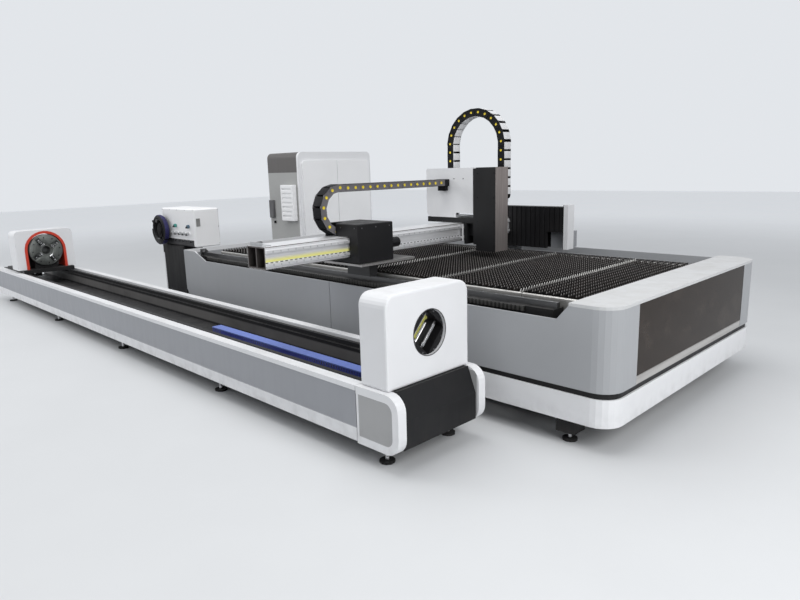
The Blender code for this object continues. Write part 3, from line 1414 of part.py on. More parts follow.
def z_slide():
    """The plate that carries the head up and down, with the arm to the chain."""
    arm_top = ARM_HEIGHT + ARM_THICKNESS
    plate = block(
        (slide_x0, tower_y0 + SLIDE_MARGIN, SLIDE_BOTTOM),
        (slide_x1, tower_y1 - SLIDE_MARGIN, arm_top + SLIDE_ABOVE_ARM),
    )
    side_y0 = tower_y1 - SLIDE_MARGIN - ARM_SIDE
    side = block(
        (slide_x0 + SINK, side_y0, ARM_HEIGHT),
        (z_chain_right + ARM_WIDTH / 2, side_y0 + ARM_SIDE - SINK, arm_top),
    )
    reach = block(
        (z_chain_right - ARM_WIDTH / 2, side_y0 + SINK, ARM_HEIGHT + SINK / 2),
        (z_chain_right + ARM_WIDTH / 2 - SINK, chain_y1 - SINK, arm_top - SINK / 2),
    )
    part(join(plate, side, reach), "z_slide", ALUMINIUM, 0.35, 0.8)


def cutting_head():
    """Nozzle, neck, body and fibre connector in one turned profile, with its clamp."""
    x = slide_x1 + HEAD_AXIS_FRONT - SLIDE_THICKNESS
    y = tower_y0 + HEAD_AXIS_SIDE
    profile = [
        (0, HEAD_CONNECTOR_TOP), (HEAD_CONNECTOR_RADIUS, HEAD_CONNECTOR_TOP),
        (HEAD_CONNECTOR_RADIUS, HEAD_BODY_TOP), (HEAD_BODY_RADIUS, HEAD_BODY_TOP),
        (HEAD_BODY_RADIUS, HEAD_NECK_TOP),
        (HEAD_NECK_RADIUS, HEAD_NECK_TOP - HEAD_BODY_RADIUS + HEAD_NECK_RADIUS),
        (HEAD_NECK_RADIUS, NOZZLE_TIP + NOZZLE_LENGTH), (NOZZLE_RADIUS, NOZZLE_TIP + NOZZLE_LENGTH),
        (NOZZLE_TIP_RADIUS, NOZZLE_TIP), (0, NOZZLE_TIP),
    ]
    head = turned(profile, "Z", (x, y, 0), steps=20)
    clamp = block(
        (slide_x1 + SEAT, y - HEAD_CLAMP_HALF_WIDTH, HEAD_CLAMP_BOTTOM),
        (x - SINK, y + HEAD_CLAMP_HALF_WIDTH, HEAD_CLAMP_TOP),
    )
    part(smooth(join(head, clamp)), "cutting_head", STEEL, 0.3, 0.7)


def y_chain():
    """The chain of the Y axis, from inside the near cover up and over to the head."""
    low = saddle_bottom + Y_CHAIN_HEIGHT / 2
    high = Y_CHAIN_UPPER_TOP - Y_CHAIN_HEIGHT / 2
    radius = (high - low) / 2
    bend_y = cover_y0 + Y_CHAIN_BEND_FROM_COVER
    fixed_y = bend_y + Y_CHAIN_TAIL
    path = ChainPath((fixed_y, low), math.pi, fixed_y - bend_y, radius, head_y0 - SEAT - bend_y)
    made = chain(path, Y_CHAIN_PITCH, Y_CHAIN_HEIGHT, "X", y_chain_x0, y_chain_x0 + Y_CHAIN_WIDTH)
    part(made, "y_chain", DARK_GREY, 0.5)


def z_chain():
    """The tall arch of chain from the carriage to the Z slide's arm."""
    radius = Z_CHAIN_SPAN / 2
    centre_z = Z_CHAIN_TOP - Z_CHAIN_HEIGHT / 2 - radius
    start_z = saddle_top + SEAT
    end_z = ARM_HEIGHT + ARM_THICKNESS - SINK / 2 + SEAT
    path = ChainPath((z_chain_left, start_z), math.pi / 2, centre_z - start_z, radius, centre_z - end_z)
    made = chain(path, Z_CHAIN_PITCH, Z_CHAIN_HEIGHT, "Y", chain_y0, chain_y1)
    part(made, "z_chain", DARK_GREY, 0.5)


# Layout of the cabinet and the connection box
cabinet_x0 = left + CABINET_FROM_LEFT
cabinet_x1 = cabinet_x0 + CABINET_DEPTH
cabinet_y1 = near + total_width
cabinet_y0 = cabinet_y1 - CABINET_WIDTH
door_x0 = cabinet_x1 + SEAT
box_x0 = left + BOX_FROM_LEFT
box_x1 = box_x0 + BOX_LENGTH
box_y0 = plate_y0 + BOX_NEAR_OFFSET
box_y1 = box_y0 + BOX_WIDTH
box_z0 = PEDESTAL_HEIGHT + SEAT
box_z1 = box_z0 + BOX_HEIGHT


def cabinet_body():
    outline = rounded(
        (cabinet_y0, 0), (cabinet_y1, CABINET_HEIGHT), (0, 0, CABINET_RADIUS, CABINET_RADIUS)
    )
    body = slab([outline], "X", cabinet_x0, cabinet_x1)
    w = CABINET_WALL
    room = block(
        (cabinet_x0 + w, cabinet_y0 + w * 2, CABINET_FLOOR),
        (cabinet_x1 + OVERRUN, cabinet_y1 - w * 2, CABINET_HEIGHT - CABINET_HEAD - w),
    )
    part(smooth(cut(body, room)), "cabinet_body", PANEL_GREY, 0.4)


def cabinet_doors():
    """Two doors that stand proud of the cabinet, hinged at their outer edges."""
    middle = (cabinet_y0 + cabinet_y1) / 2
    near_edge, far_edge = cabinet_y0 + DOOR_MARGIN, cabinet_y1 - DOOR_MARGIN
    spans = (
        ("cabinet_door_near", near_edge, middle - DOOR_GAP / 2, (DOOR_RADIUS, 0, 0, DOOR_RADIUS)),
        ("cabinet_door_far", middle + DOOR_GAP / 2, far_edge, (0, DOOR_RADIUS, DOOR_RADIUS, 0)),
    )
    for name, y0, y1, radii in spans:
        outline = rounded((y0, DOOR_BOTTOM), (y1, DOOR_TOP), radii)
        door = slab([outline], "X", door_x0, door_x0 + DOOR_THICKNESS)
        part(smooth(door), name, WHITE, 0.35)


def laser_source():
    low = (
        cabinet_x0 + CABINET_WALL + SOURCE_MARGIN,
        cabinet_y0 + CABINET_WALL * 2 + SOURCE_MARGIN,
        CABINET_FLOOR + SEAT,
    )
    high = (low[0] + SOURCE_DEPTH, low[1] + SOURCE_WIDTH, low[2] + SOURCE_HEIGHT)
    part(bevel(block(low, high), SOURCE_EDGE), "laser_source", DARK_GREY, 0.45)


def air_conditioner():
    """The finned cooler on the cabinet's near side."""
    x0 = cabinet_x0 + COOLER_BACK
    x1 = x0 + COOLER_LENGTH
    y1 = cabinet_y0 - SEAT
    y0 = y1 - COOLER_DEPTH
    cooler = bevel(block((x0, y0, COOLER_BOTTOM), (x1, y1, COOLER_TOP)), COVER_EDGE)
    span = COOLER_TOP - COOLER_BOTTOM - COOLER_FIN_MARGIN * 2
    pitch = span / COOLER_FINS
    grooves = []
    for i in range(COOLER_FINS):
        z = COOLER_BOTTOM + COOLER_FIN_MARGIN + pitch * (i + 0.25)
        grooves.append(
            block(
                (x0 + COOLER_FIN_MARGIN, y0 - OVERRUN, z),
                (x1 - COOLER_FIN_MARGIN, y0 + COOLER_FIN_DEPTH, z + pitch / 2),
            )
        )
    part(cut(cooler, merged(grooves)), "air_conditioner", WHITE, 0.45)


def pedestal():
    x0 = left + PEDESTAL_FROM_LEFT
    stand = block((x0, box_y0, 0), (x0 + PEDESTAL_LENGTH, box_y0 + PEDESTAL_WIDTH, PEDESTAL_HEIGHT))
    part(bevel(stand, PEDESTAL_EDGE), "pedestal", DEEP_BLACK, 0.5)


coil_x = box_x0 + COIL_SIDE
coil_z = box_z0 + PEG_HEIGHT + PEG_RADIUS - COIL_INNER_RADIUS + SEAT
coil_y1 = box_y0 - COIL_STANDOFF
coil_y0 = coil_y1 - COIL_WIDTH


def utility_box():
    """The connection box with two rows of round sockets and a peg for the coil."""
    case = bevel(block((box_x0, box_y0, box_z0), (box_x1, box_y1, box_z1)), BOX_EDGE)
    sockets = []
    for z in (box_z0 + SOCKET_LOW, box_z0 + SOCKET_HIGH):
        for i in range(BOX_SOCKETS):
            x = box_x0 + SOCKET_FIRST + SOCKET_PITCH * i
            sockets.append(rod((x, box_y0 + SINK, z), (x, box_y0 - SOCKET_PROUD, z), SOCKET_RADIUS, sides=8))
    peg_z = box_z0 + PEG_HEIGHT
    peg = rod((coil_x, box_y0 + SINK, peg_z), (coil_x, coil_y0 - PEG_LIP * 2, peg_z), PEG_RADIUS, sides=10)
    lip = rod(
        (coil_x, coil_y0 - PEG_LIP, peg_z + PEG_LIP), (coil_x, coil_y0 - PEG_LIP * 3, peg_z + PEG_LIP),
        PEG_RADIUS + PEG_LIP, sides=10,
    )
    join(case, merged(sockets), peg, lip)
    part(case, "utility_box", WHITE, 0.45)


def cable_coil():
    """The outer shape of a coil of cable that hangs on the peg."""
    edge = COIL_WIDTH / 4
    half = COIL_WIDTH / 2
    profile = [
        (COIL_INNER_RADIUS + edge, half), (COIL_RADIUS - edge, half), (COIL_RADIUS, half - edge),
        (COIL_RADIUS, edge - half), (COIL_RADIUS - edge, -half), (COIL_INNER_RADIUS + edge, -half),
        (COIL_INNER_RADIUS, edge - half), (COIL_INNER_RADIUS, half - edge),
    ]
    coil = turned(profile, "Y", (coil_x, (coil_y0 + coil_y1) / 2, coil_z), steps=COIL_STEPS)
    part(smooth(coil), "cable_coil", DEEP_BLACK, 0.5)


def main():
    plate_bed_frame()
    front_panel_right()
    front_panel_left()
    rear_panel()
    end_window()
    end_shelf()
    skirt()
    slat_table()
    rails()
    near_rack()
    scrap_tray()
    tube_bed_frame()
    cheeks()
    end_caps()
    chute()
    cable_duct()
    tube_chain()
    front_chuck_housing()
    front_chuck_rotor()
    front_jaws()
    rear_carriage()
    rear_chuck_housing()
    rear_rim()
    rear_chuck_disc()
    rear_jaws()
    rear_motor()
    gantry_beam()
    near_carriage()
    far_carriage()
    near_drive_cover()
    drive_motor()
    far_drive_cover()
    head_carriage()
    head_cover()
    z_tower()
    z_slide()
    cutting_head()
    y_chain()
    z_chain()
    cabinet_body()
    cabinet_doors()
    laser_source()
    air_conditioner()
    pedestal()
    utility_box()
    cable_coil()


main()
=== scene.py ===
# %% [markdown]
# # A fiber laser cutting machine
#
# The machine cuts flat sheet on a wide slatted bed and round or square tube on a
# narrow bed beside it. The solids of the model are already built, to scale, in metres.
# This notebook dresses them: it gives each one its paint or metal, and puts in the
# small parts that a solid model leaves plain, such as teeth, chain links and screws.
#
# The first cell loads the solids. Each stays where it is, and new pieces are made
# round them in the same place, so nothing has to be fitted afterwards. The tube's axis,
# which runs through both chucks, is used in many places and gets its name here.

# %% Load the solids
import math

import bmesh
import bpy
from mathutils import Matrix, Vector


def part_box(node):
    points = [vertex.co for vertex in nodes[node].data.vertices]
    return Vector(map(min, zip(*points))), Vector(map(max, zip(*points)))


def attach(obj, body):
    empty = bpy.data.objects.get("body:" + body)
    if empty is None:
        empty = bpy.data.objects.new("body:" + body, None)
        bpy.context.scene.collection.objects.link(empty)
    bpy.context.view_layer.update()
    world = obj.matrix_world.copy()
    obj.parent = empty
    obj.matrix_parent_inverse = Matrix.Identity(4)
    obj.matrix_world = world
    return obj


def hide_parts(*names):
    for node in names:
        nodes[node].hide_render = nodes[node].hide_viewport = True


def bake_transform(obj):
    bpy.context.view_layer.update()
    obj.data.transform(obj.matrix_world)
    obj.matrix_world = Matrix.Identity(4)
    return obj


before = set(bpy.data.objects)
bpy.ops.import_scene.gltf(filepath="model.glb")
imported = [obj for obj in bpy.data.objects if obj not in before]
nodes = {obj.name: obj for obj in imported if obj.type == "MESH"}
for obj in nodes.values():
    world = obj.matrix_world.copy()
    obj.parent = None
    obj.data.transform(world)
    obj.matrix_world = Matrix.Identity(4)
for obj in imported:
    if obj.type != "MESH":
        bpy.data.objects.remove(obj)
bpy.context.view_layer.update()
TUBE_Y, TUBE_Z = -1.74, 0.70

# %% [markdown]
# ## The camera
#
# A camera can be aimed by eye or worked out from the vanishing points of long straight
# edges. The edges of the two beds give them here, so the camera is set by its three
# axes and its place, and the lens follows from how far apart those points lie.

# %% Camera
CAMERA_RIGHT = Vector((0.70882, 0.70487, -0.02703))
CAMERA_UP = Vector((-0.12393, 0.16216, 0.97895))
CAMERA_BACK = Vector((0.69442, -0.69055, 0.20230))
CAMERA_PLACE = Vector((5.595, -4.23, 1.58))

lens = bpy.data.cameras.new("camera")
lens.lens = 28.744
lens.sensor_width = 36
lens.clip_end = 200
camera = bpy.data.objects.new("camera", lens)
axes = Matrix((CAMERA_RIGHT, CAMERA_UP, CAMERA_BACK)).transposed().to_4x4()
camera.matrix_world = Matrix.Translation(CAMERA_PLACE) @ axes
bpy.context.scene.collection.objects.link(camera)
bpy.context.scene.camera = camera
bpy.context.scene.view_settings.view_transform = "Standard"
print("camera at", tuple(CAMERA_PLACE))

# %% [markdown]
# ## Modelling by hand, in code
#
# Each new piece starts as a primitive of about the right size, and is then shaped in
# edit mode. These helpers do what the mouse would do: clear the selection, add the
# primitive, pick faces or edges by where they are, and leave edit mode again.

# %% Helpers for edit mode
from contextlib import contextmanager


def deselect():
    """Nothing is selected afterwards, and no piece is in edit mode."""
    if bpy.context.object and bpy.context.object.mode != "OBJECT":
        bpy.ops.object.mode_set(mode="OBJECT")
    bpy.ops.object.select_all(action="DESELECT")


def choose(*pieces):
    """Selects these pieces alone, the first one active."""
    deselect()
    for piece in pieces:
        piece.select_set(True)
    bpy.context.view_layer.objects.active = pieces[0]


def settle(name):
    """Names the new piece and applies its place, so that its mesh holds it."""
    piece = bpy.context.object
    piece.name = name
    bpy.ops.object.transform_apply(location=True, rotation=True, scale=True)
    return piece


def cube(name, low, high):
    """A cube stretched to fill the room between two corners."""
    low, high = Vector(low), Vector(high)
    deselect()
    bpy.ops.mesh.primitive_cube_add(size=1, location=(low + high) / 2, scale=high - low)
    return settle(name)


TURNS = {"X": (0, math.pi / 2, 0), "Y": (-math.pi / 2, 0, 0), "Z": (0, 0, 0)}


def drum(name, middle, radius, length, axis="Z", sides=24):
    """A cylinder about an axis, given by its middle."""
    deselect()
    bpy.ops.mesh.primitive_cylinder_add(
        vertices=sides, radius=radius, depth=length, location=middle, rotation=TURNS[axis]
    )
    return settle(name)


@contextmanager
def editing(piece):
    """Edit mode on one piece, with nothing picked at the start."""
    choose(piece)
    bpy.ops.object.mode_set(mode="EDIT")
    bpy.ops.mesh.select_mode(type="FACE")
    bpy.ops.mesh.select_all(action="DESELECT")
    yield
    bpy.ops.object.mode_set(mode="OBJECT")


def pick_faces(test):
    """In edit mode, picks the faces whose centre and normal pass the test."""
    bpy.ops.mesh.select_mode(type="FACE")
    bpy.ops.mesh.select_all(action="DESELECT")
    shape = bmesh.from_edit_mesh(bpy.context.object.data)
    for face in shape.faces:
        face.select_set(bool(test(face.calc_center_median(), face.normal)))
    bmesh.update_edit_mesh(bpy.context.object.data)


def pick_points(test):
    """In edit mode, picks the points whose place passes the test."""
    bpy.ops.mesh.select_mode(type="VERT")
    bpy.ops.mesh.select_all(action="DESELECT")
    shape = bmesh.from_edit_mesh(bpy.context.object.data)
    for point in shape.verts:
        point.select_set(bool(test(point.co)))
    shape.select_flush(True)
    bmesh.update_edit_mesh(bpy.context.object.data)


def pick_edges(test):
    """In edit mode, picks the edges whose middle and direction pass the test."""
    bpy.ops.mesh.select_mode(type="EDGE")
    bpy.ops.mesh.select_all(action="DESELECT")
    shape = bmesh.from_edit_mesh(bpy.context.object.data)
    for edge in shape.edges:
        first, last = (end.co for end in edge.verts)
        edge.select_set(bool(test((first + last) / 2, (last - first).normalized())))
    bmesh.update_edit_mesh(bpy.context.object.data)


def push(x=0, y=0, z=0):
    """In edit mode, moves what is picked."""
    bpy.ops.transform.translate(value=(x, y, z))


def pull_out(x=0, y=0, z=0):
    """In edit mode, extrudes the picked faces along a way."""
    bpy.ops.mesh.extrude_region_move(TRANSFORM_OT_translate={"value": (x, y, z)})


def inset(by, depth=0, each=False):
    """In edit mode, insets the picked faces, together or each by itself."""
    bpy.ops.mesh.inset(thickness=by, depth=depth, use_individual=each)


print("helpers ready")

# %% [markdown]
# Many small parts need the same two moves: the face that looks one way is inset, and
# its middle is then pushed in or pulled out. The five ways have names, seen from where
# the camera stands: near and far across the machine, front and back along it.

# %% Helpers for one face
UP, NEAR, FAR, FRONT, BACK = (0, 0, 1), (0, -1, 0), (0, 1, 0), (1, 0, 0), (-1, 0, 0)


def dish(piece, way, rim, depth):
    """Insets the face that looks a way and moves its middle along the way."""
    way = Vector(way)
    with editing(piece):
        pick_faces(lambda middle, normal: normal.dot(way) > 0.9)
        inset(rim)
        push(*(way * depth))
    return piece


def boss(piece, way, rim, height):
    """As a dish, but the middle is extruded and gets upright walls."""
    way = Vector(way)
    with editing(piece):
        pick_faces(lambda middle, normal: normal.dot(way) > 0.9)
        inset(rim)
        pull_out(*(way * height))
    return piece


print("face helpers ready")

# %% [markdown]
# ## Soft edges, copies and hand-over
#
# Sheet metal and machined blocks have no knife edges, so each piece gets a small bevel
# from a modifier, which is then applied. What repeats is modelled once. Each copy gets
# its own mesh, moved to its place, and copies that belong together are joined.

# %% Helpers for finishing a piece
def soften(piece, width, segments=2, angle=35):
    """Rounds the sharp edges with an applied bevel, if a width is given, and shades smooth."""
    choose(piece)
    if width:
        edges = piece.modifiers.new("soft edges", "BEVEL")
        edges.width = width
        edges.segments = segments
        edges.limit_method = "ANGLE"
        edges.angle_limit = math.radians(angle)
        bpy.ops.object.modifier_apply(modifier=edges.name)
    bpy.ops.object.shade_smooth_by_angle(angle=math.radians(angle))
    return piece


def coat(piece, *finishes):
    """Gives a piece its finish. With more than one, the faces already know theirs."""
    piece.data.materials.clear()
    for finish in finishes:
        piece.data.materials.append(finish)
    return piece


def thicken(piece, thickness, offset):
    """Gives a sheet its thickness with an applied modifier."""
    choose(piece)
    wall = piece.modifiers.new("wall", "SOLIDIFY")
    wall.thickness = thickness
    wall.offset = offset
    bpy.ops.object.modifier_apply(modifier=wall.name)


def join(name, *pieces):
    """Joins pieces into one, which keeps the finish of each."""
    choose(*pieces)
    if len(pieces) > 1:
        bpy.ops.object.join()
    joined = bpy.context.object
    joined.name = name
    return joined


def twin(piece):
    """A copy of a piece with its own mesh."""
    copy = piece.copy()
    copy.data = piece.data.copy()
    bpy.context.scene.collection.objects.link(copy)
    return copy


def repeat(piece, spots, name):
    """Puts a copy of a piece at each spot and joins the copies. The piece itself goes."""
    copies = [twin(piece) for _ in spots]
    for copy, spot in zip(copies, spots):
        copy.data.transform(spot)
    bpy.data.objects.remove(piece)
    return join(name, *copies)


def shifts(*places):
    """The spots for copies that are only moved."""
    return [Matrix.Translation(place) for place in places]


def facing(place, normal, up=(0, 0, 1)):
    """A spot whose Z axis points along a normal, for pieces made on a flat floor."""
    z = Vector(normal).normalized()
    x = Vector(up).cross(z)
    if x.length < 0.01:
        x = Vector((1, 0, 0))
    x.normalize()
    y = z.cross(x)
    return Matrix.Translation(place) @ Matrix((x, y, z)).transposed().to_4x4()


def hand_over(piece, body, slot, *stands_for):
    """The piece moves with a body and may stand for solids. The slot is not used."""
    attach(piece, body)
    if stands_for:
        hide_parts(*stands_for)
    print(piece.name, len(piece.data.polygons), "faces on", body)
    return piece


def evenly(first, last, count):
    """Evenly spaced numbers from the first to the last."""
    return [first + (last - first) * i / (count - 1) for i in range(count)]


print("finishing helpers ready")

# %% [markdown]
# ## Finishes as sums
#
# A material is a graph of nodes, but most of it is plain arithmetic on masks. The small
# class below wraps one output socket, so that a sum such as 1 - mask * 0.5 adds the
# Math nodes by itself. Colours never go through Math nodes, which would turn them
# grey. They are mixed by a Mix node.

# %% Shader maths
class Value:
    """One number of a material, as an output socket that can be used in sums."""

    def __init__(self, finish, socket):
        self.finish = finish
        self.socket = socket

    def maths(self, operation, *others, clamp=False):
        settings = {"operation": operation, "use_clamp": clamp}
        return self.finish.node("ShaderNodeMath", settings, dict(enumerate((self, *others))))

    def __add__(self, other):
        return self.maths("ADD", other)

    def __sub__(self, other):
        return self.maths("SUBTRACT", other)

    def __mul__(self, other):
        return self.maths("MULTIPLY", other)

    def __rsub__(self, other):
        return (self * -1) + other

    def __gt__(self, other):
        return self.maths("GREATER_THAN", other)

    def __lt__(self, other):
        return self.maths("LESS_THAN", other)

    __radd__ = __add__
    __rmul__ = __mul__

    def fraction(self):
        return self.maths("FRACT")

    def size(self):
        return self.maths("ABSOLUTE")

    def held(self):
        """Held between 0 and 1."""
        return self.maths("ADD", 0.0, clamp=True)

    def between(self, low, high):
        """1 where the number is between two limits, and 0 elsewhere."""
        return (self > low) * (self < high)


class Finish:
    """A paint, metal or plastic: one material with its shader and the place on it."""

    def __init__(self, name, colour, roughness, metallic=0.0):
        self.material = bpy.data.materials.new(name)
        self.material.use_nodes = True
        self.graph = self.material.node_tree
        self.shader = self.graph.nodes["Principled BSDF"]
        self.set("Base Color", (*colour, 1))
        self.set("Roughness", roughness)
        self.set("Metallic", metallic)
        self.place = self.node("ShaderNodeTexCoord", out="Object")
        self.axes = {}

    def give(self, socket, value):
        if isinstance(value, Value):
            self.graph.links.new(value.socket, socket)
        else:
            socket.default_value = value

    def node(self, kind, settings=None, values=None, out=0):
        """Adds a node: its settings first, then its values or links by socket."""
        made = self.graph.nodes.new(kind)
        for key, value in (settings or {}).items():
            if key == "stops":
                ramp = made.color_ramp.elements
                while len(ramp) < len(value):
                    ramp.new(0.5)
                for stop, (position, colour) in zip(ramp, value):
                    stop.position = position
                    stop.color = (*colour, 1)
            else:
                setattr(made, key, value)
        for key, value in (values or {}).items():
            self.give(made.inputs[key], value)
        return Value(self, made.outputs[out])

    def set(self, name, value):
        """Sets or links a socket of the shader."""
        self.give(self.shader.inputs[name], value)

    def axis(self, letter):
        """How far along X, Y or Z a point lies, in metres."""
        if letter not in self.axes:
            for name in "XYZ":
                self.axes[name] = self.node("ShaderNodeSeparateXYZ", None, {0: self.place}, name)
        return self.axes[letter]

    def facing(self, letter):
        """The surface normal's share along X, Y or Z."""
        normal = self.node("ShaderNodeNewGeometry", out="Normal")
        return self.node("ShaderNodeSeparateXYZ", None, {0: normal}, letter)

    def noise(self, scale, detail=3.0, stretch=(1, 1, 1), rough=0.55):
        """Cloudy noise from 0 to 1. A stretch below 1 draws it out along that axis."""
        spot = self.node("ShaderNodeMapping", {"vector_type": "POINT"}, {0: self.place, 3: stretch})
        values = {"Vector": spot, "Scale": scale, "Detail": detail, "Roughness": rough}
        return self.node("ShaderNodeTexNoise", None, values, "Fac")

    def cells(self, scale, stretch=(1, 1, 1)):
        """Distance to the nearest of many scattered points."""
        spot = self.node("ShaderNodeMapping", {"vector_type": "POINT"}, {0: self.place, 3: stretch})
        return self.node("ShaderNodeTexVoronoi", None, {"Vector": spot, "Scale": scale}, "Distance")

    def ramp(self, value, low, high, start=0.0, end=1.0):
        """Runs smoothly from start to end while the value goes from low to high."""
        settings = {"interpolation_type": "SMOOTHSTEP"}
        values = {"Value": value, 1: low, 2: high, 3: start, 4: end}
        return self.node("ShaderNodeMapRange", settings, values)

    def mix(self, factor, first, second):
        """A colour between two colours."""
        first, second = [c if isinstance(c, Value) else (*c, 1) for c in (first, second)]
        return self.node("ShaderNodeMix", {"data_type": "RGBA"}, {0: factor, 6: first, 7: second}, 2)

    def bump(self, height, strength, distance=0.001):
        """Raises the surface by a height, seen in its shading."""
        values = {"Strength": strength, "Distance": distance, "Height": height}
        self.set("Normal", self.node("ShaderNodeBump", None, values))


print("shader maths ready")

# %% [markdown]
# ## Paint
#
# Nearly all of the machine is sheet steel with powder paint. The paint is even, so what
# makes it look real is small: a fine orange peel, a faint cloudiness, dust that lies on
# what faces up, and grime that creeps up from the floor. One function adds these to any
# colour, so that white, grey and black casings age in the same way.

# %% Powder paint
DUST = (0.42, 0.40, 0.37)
GRIME = (0.11, 0.10, 0.09)
GRIME_HEIGHT = 0.32


def darker(colour, share):
    return tuple(part * share for part in colour)


def weather(finish, colour, roughness, dust=0.2, grime=0.35, peel=0.06):
    """Cloudiness, dust, floor grime and orange peel over any base colour."""
    cloud = finish.noise(1.3, 4)
    lies = finish.ramp(finish.facing("Z"), 0.7, 0.98) * finish.ramp(finish.noise(7, 5), 0.35, 0.7)
    low = finish.ramp(finish.axis("Z"), 0.0, GRIME_HEIGHT, 1.0, 0.0)
    creeps = low * finish.ramp(finish.noise(11, 5), 0.35, 0.75)
    dusty = finish.mix(lies * dust, colour, DUST)
    grimy = finish.mix(creeps * grime, dusty, GRIME)
    finish.set("Base Color", finish.mix(finish.ramp(cloud, 0.35, 0.7) * 0.05, grimy, GRIME))
    rubbed = finish.ramp(finish.noise(4, 4, (5, 5, 0.7)), 0.3, 0.7)
    dull = lies * 0.2 + creeps * 0.15 + rubbed * 0.12 + roughness
    finish.set("Roughness", dull.held())
    finish.bump(finish.noise(520, 2), peel, 0.0004)
    return finish.material


def powder_paint(name, colour, roughness=0.36, gloss=1.45, **ageing):
    """A plain paint. A lower gloss, as index of refraction, keeps black paint deep."""
    finish = Finish(name, colour, roughness)
    finish.set("IOR", gloss)
    return weather(finish, colour, roughness, **ageing)


WHITE = (0.76, 0.765, 0.78)
BRIGHT_WHITE = (0.86, 0.862, 0.87)
LIGHT_GREY = (0.36, 0.37, 0.385)
MID_GREY = (0.30, 0.31, 0.33)
DARK_GREY = (0.095, 0.095, 0.10)
BLACK = (0.012, 0.012, 0.013)
DEEP_BLACK = (0.008, 0.008, 0.009)

white_paint = powder_paint("white powder paint", WHITE)
door_paint = powder_paint("bright white door paint", BRIGHT_WHITE, 0.34)
mid_paint = powder_paint("mid grey paint", MID_GREY, 0.4)
dark_paint = powder_paint("dark grey paint", DARK_GREY, 0.42)
shelf_paint = powder_paint("pale grey shelf paint", (0.56, 0.565, 0.57), 0.4)
black_paint = powder_paint("black frame paint", BLACK, 0.42, 1.3, dust=0.12, grime=0.15)
cover_paint = powder_paint("black cover paint", DEEP_BLACK, 0.36, 1.28, dust=0.06, grime=0.1, peel=0.12)
print("plain paints ready")

# %% [markdown]
# Some parts have two colours with a sharp border: the tube bed's sides have a grey field
# between white rims, and the cabinet's side is grey under a darker band with a white
# front. A mask on the place of a point, in metres, makes such a border without a seam
# in the mesh.

# %% Paint in two colours
CHEEK_FIELD = (0.30, 0.31, 0.335)


def inlay_paint():
    finish = Finish("white paint with a grey field", WHITE, 0.36)
    z, y = finish.axis("Z"), finish.axis("Y")
    field = z.between(0.1965, 0.4105) * ((y - TUBE_Y).size() > 0.31)
    rim = finish.mix(field, WHITE, CHEEK_FIELD)
    return weather(finish, rim, 0.36)


def cap_paint():
    finish = Finish("white cap with a sunk field", WHITE, 0.36)
    sunk = ((finish.axis("Y") - TUBE_Y).size() < 0.3595) * finish.axis("X").between(3.11, 3.40)
    sunk = sunk * finish.axis("Z").between(0.13, 0.42) * (finish.facing("Y").size() > 0.9)
    return weather(finish, finish.mix(sunk, WHITE, (0.37, 0.372, 0.375)), 0.36)


def side_panel_paint():
    """Light grey, with a painted white highlight on the upward faces and on the inner faces near the top, at
    the bed's back end.
    """
    finish = Finish("side panel paint", LIGHT_GREY, 0.4)
    # The upward faces and the faces turned to the window lamp are painted white, as a highlight.
    inner = (finish.facing("X") > 0.5) * (finish.axis("Z") > 0.778)
    painted_highlight = (finish.axis("X") < -0.33) * (finish.facing("Z") > 0.4).maths("MAXIMUM", inner)
    return weather(finish, finish.mix(painted_highlight, LIGHT_GREY, WHITE), 0.4)


def cabinet_paint():
    finish = Finish("cabinet paint in bands", MID_GREY, 0.4)
    front = finish.axis("X") > -1.345
    upper = finish.axis("Z") > 1.56
    side = finish.mix(upper, (0.35, 0.352, 0.345), (0.095, 0.088, 0.085))
    return weather(finish, finish.mix(front, side, WHITE), 0.38, dust=0.07)


def tower_paint():
    finish = Finish("black casing with a bronze face", BLACK, 0.3)
    finish.set("IOR", 1.3)
    face = finish.ramp(finish.facing("X"), 0.9, 0.99)
    grain = finish.noise(60, 3, (1, 1, 0.05))
    pale = finish.mix(finish.ramp(grain, 0.3, 0.7), (0.205, 0.178, 0.170), (0.26, 0.23, 0.22))
    deep = finish.mix(finish.ramp(grain, 0.3, 0.7), (0.100, 0.088, 0.084), (0.135, 0.12, 0.114))
    bronze = finish.mix(finish.ramp(finish.axis("Z"), 0.92, 1.5), deep, pale)
    return weather(finish, finish.mix(face, BLACK, bronze), 0.3, dust=0.1, grime=0.0)


def trough_paint():
    """Black, with a painted grey highlight where light falls on the far wall of the trough."""
    finish = Finish("black trough with a painted lit wall", BLACK, 0.42)
    finish.set("IOR", 1.3)
    z, wall = finish.axis("Z"), finish.axis("Y").between(-1.5345, -1.526)
    # The grey band on the far wall is painted light, where the lamps fall on it.
    lit_wall = finish.ramp(z, 0.292, 0.305) * finish.ramp(z, 0.368, 0.382, 1.0, 0.0) * wall
    patch = finish.ramp(finish.noise(3, 4, (0.3, 1, 1)), 0.2, 0.6, 0.5, 1.0)
    return weather(finish, finish.mix(lit_wall * patch, BLACK, (0.15, 0.145, 0.142)), 0.42, dust=0.04, grime=0.1)


def pedestal_paint():
    """Black, with the white edge of the sheet behind it at the lower left."""
    finish = Finish("black pedestal with a white edge", BLACK, 0.42)
    finish.set("IOR", 1.3)
    edge = (finish.axis("X") < -1.372) * (finish.axis("Z") < 0.72)
    return weather(finish, finish.mix(edge, BLACK, WHITE), 0.42, dust=0.1, grime=0.2)


def box_paint():
    """White, with a black foot on the near side, black studs and a black cable hook."""
    finish = Finish("white box with a black foot", BRIGHT_WHITE, 0.36)
    foot = (finish.facing("Y") < -0.5) * (finish.axis("Z") < 0.893) * (finish.axis("X") < -0.655)
    studs = (finish.axis("Y") < -1.031) * (finish.axis("Z") < 0.90)
    hook = (finish.axis("Y") < -1.031) * (finish.axis("X") < -1.2)
    dark = (foot + studs + hook).held()
    return weather(finish, finish.mix(dark, BRIGHT_WHITE, (0.012, 0.012, 0.014)), 0.36)


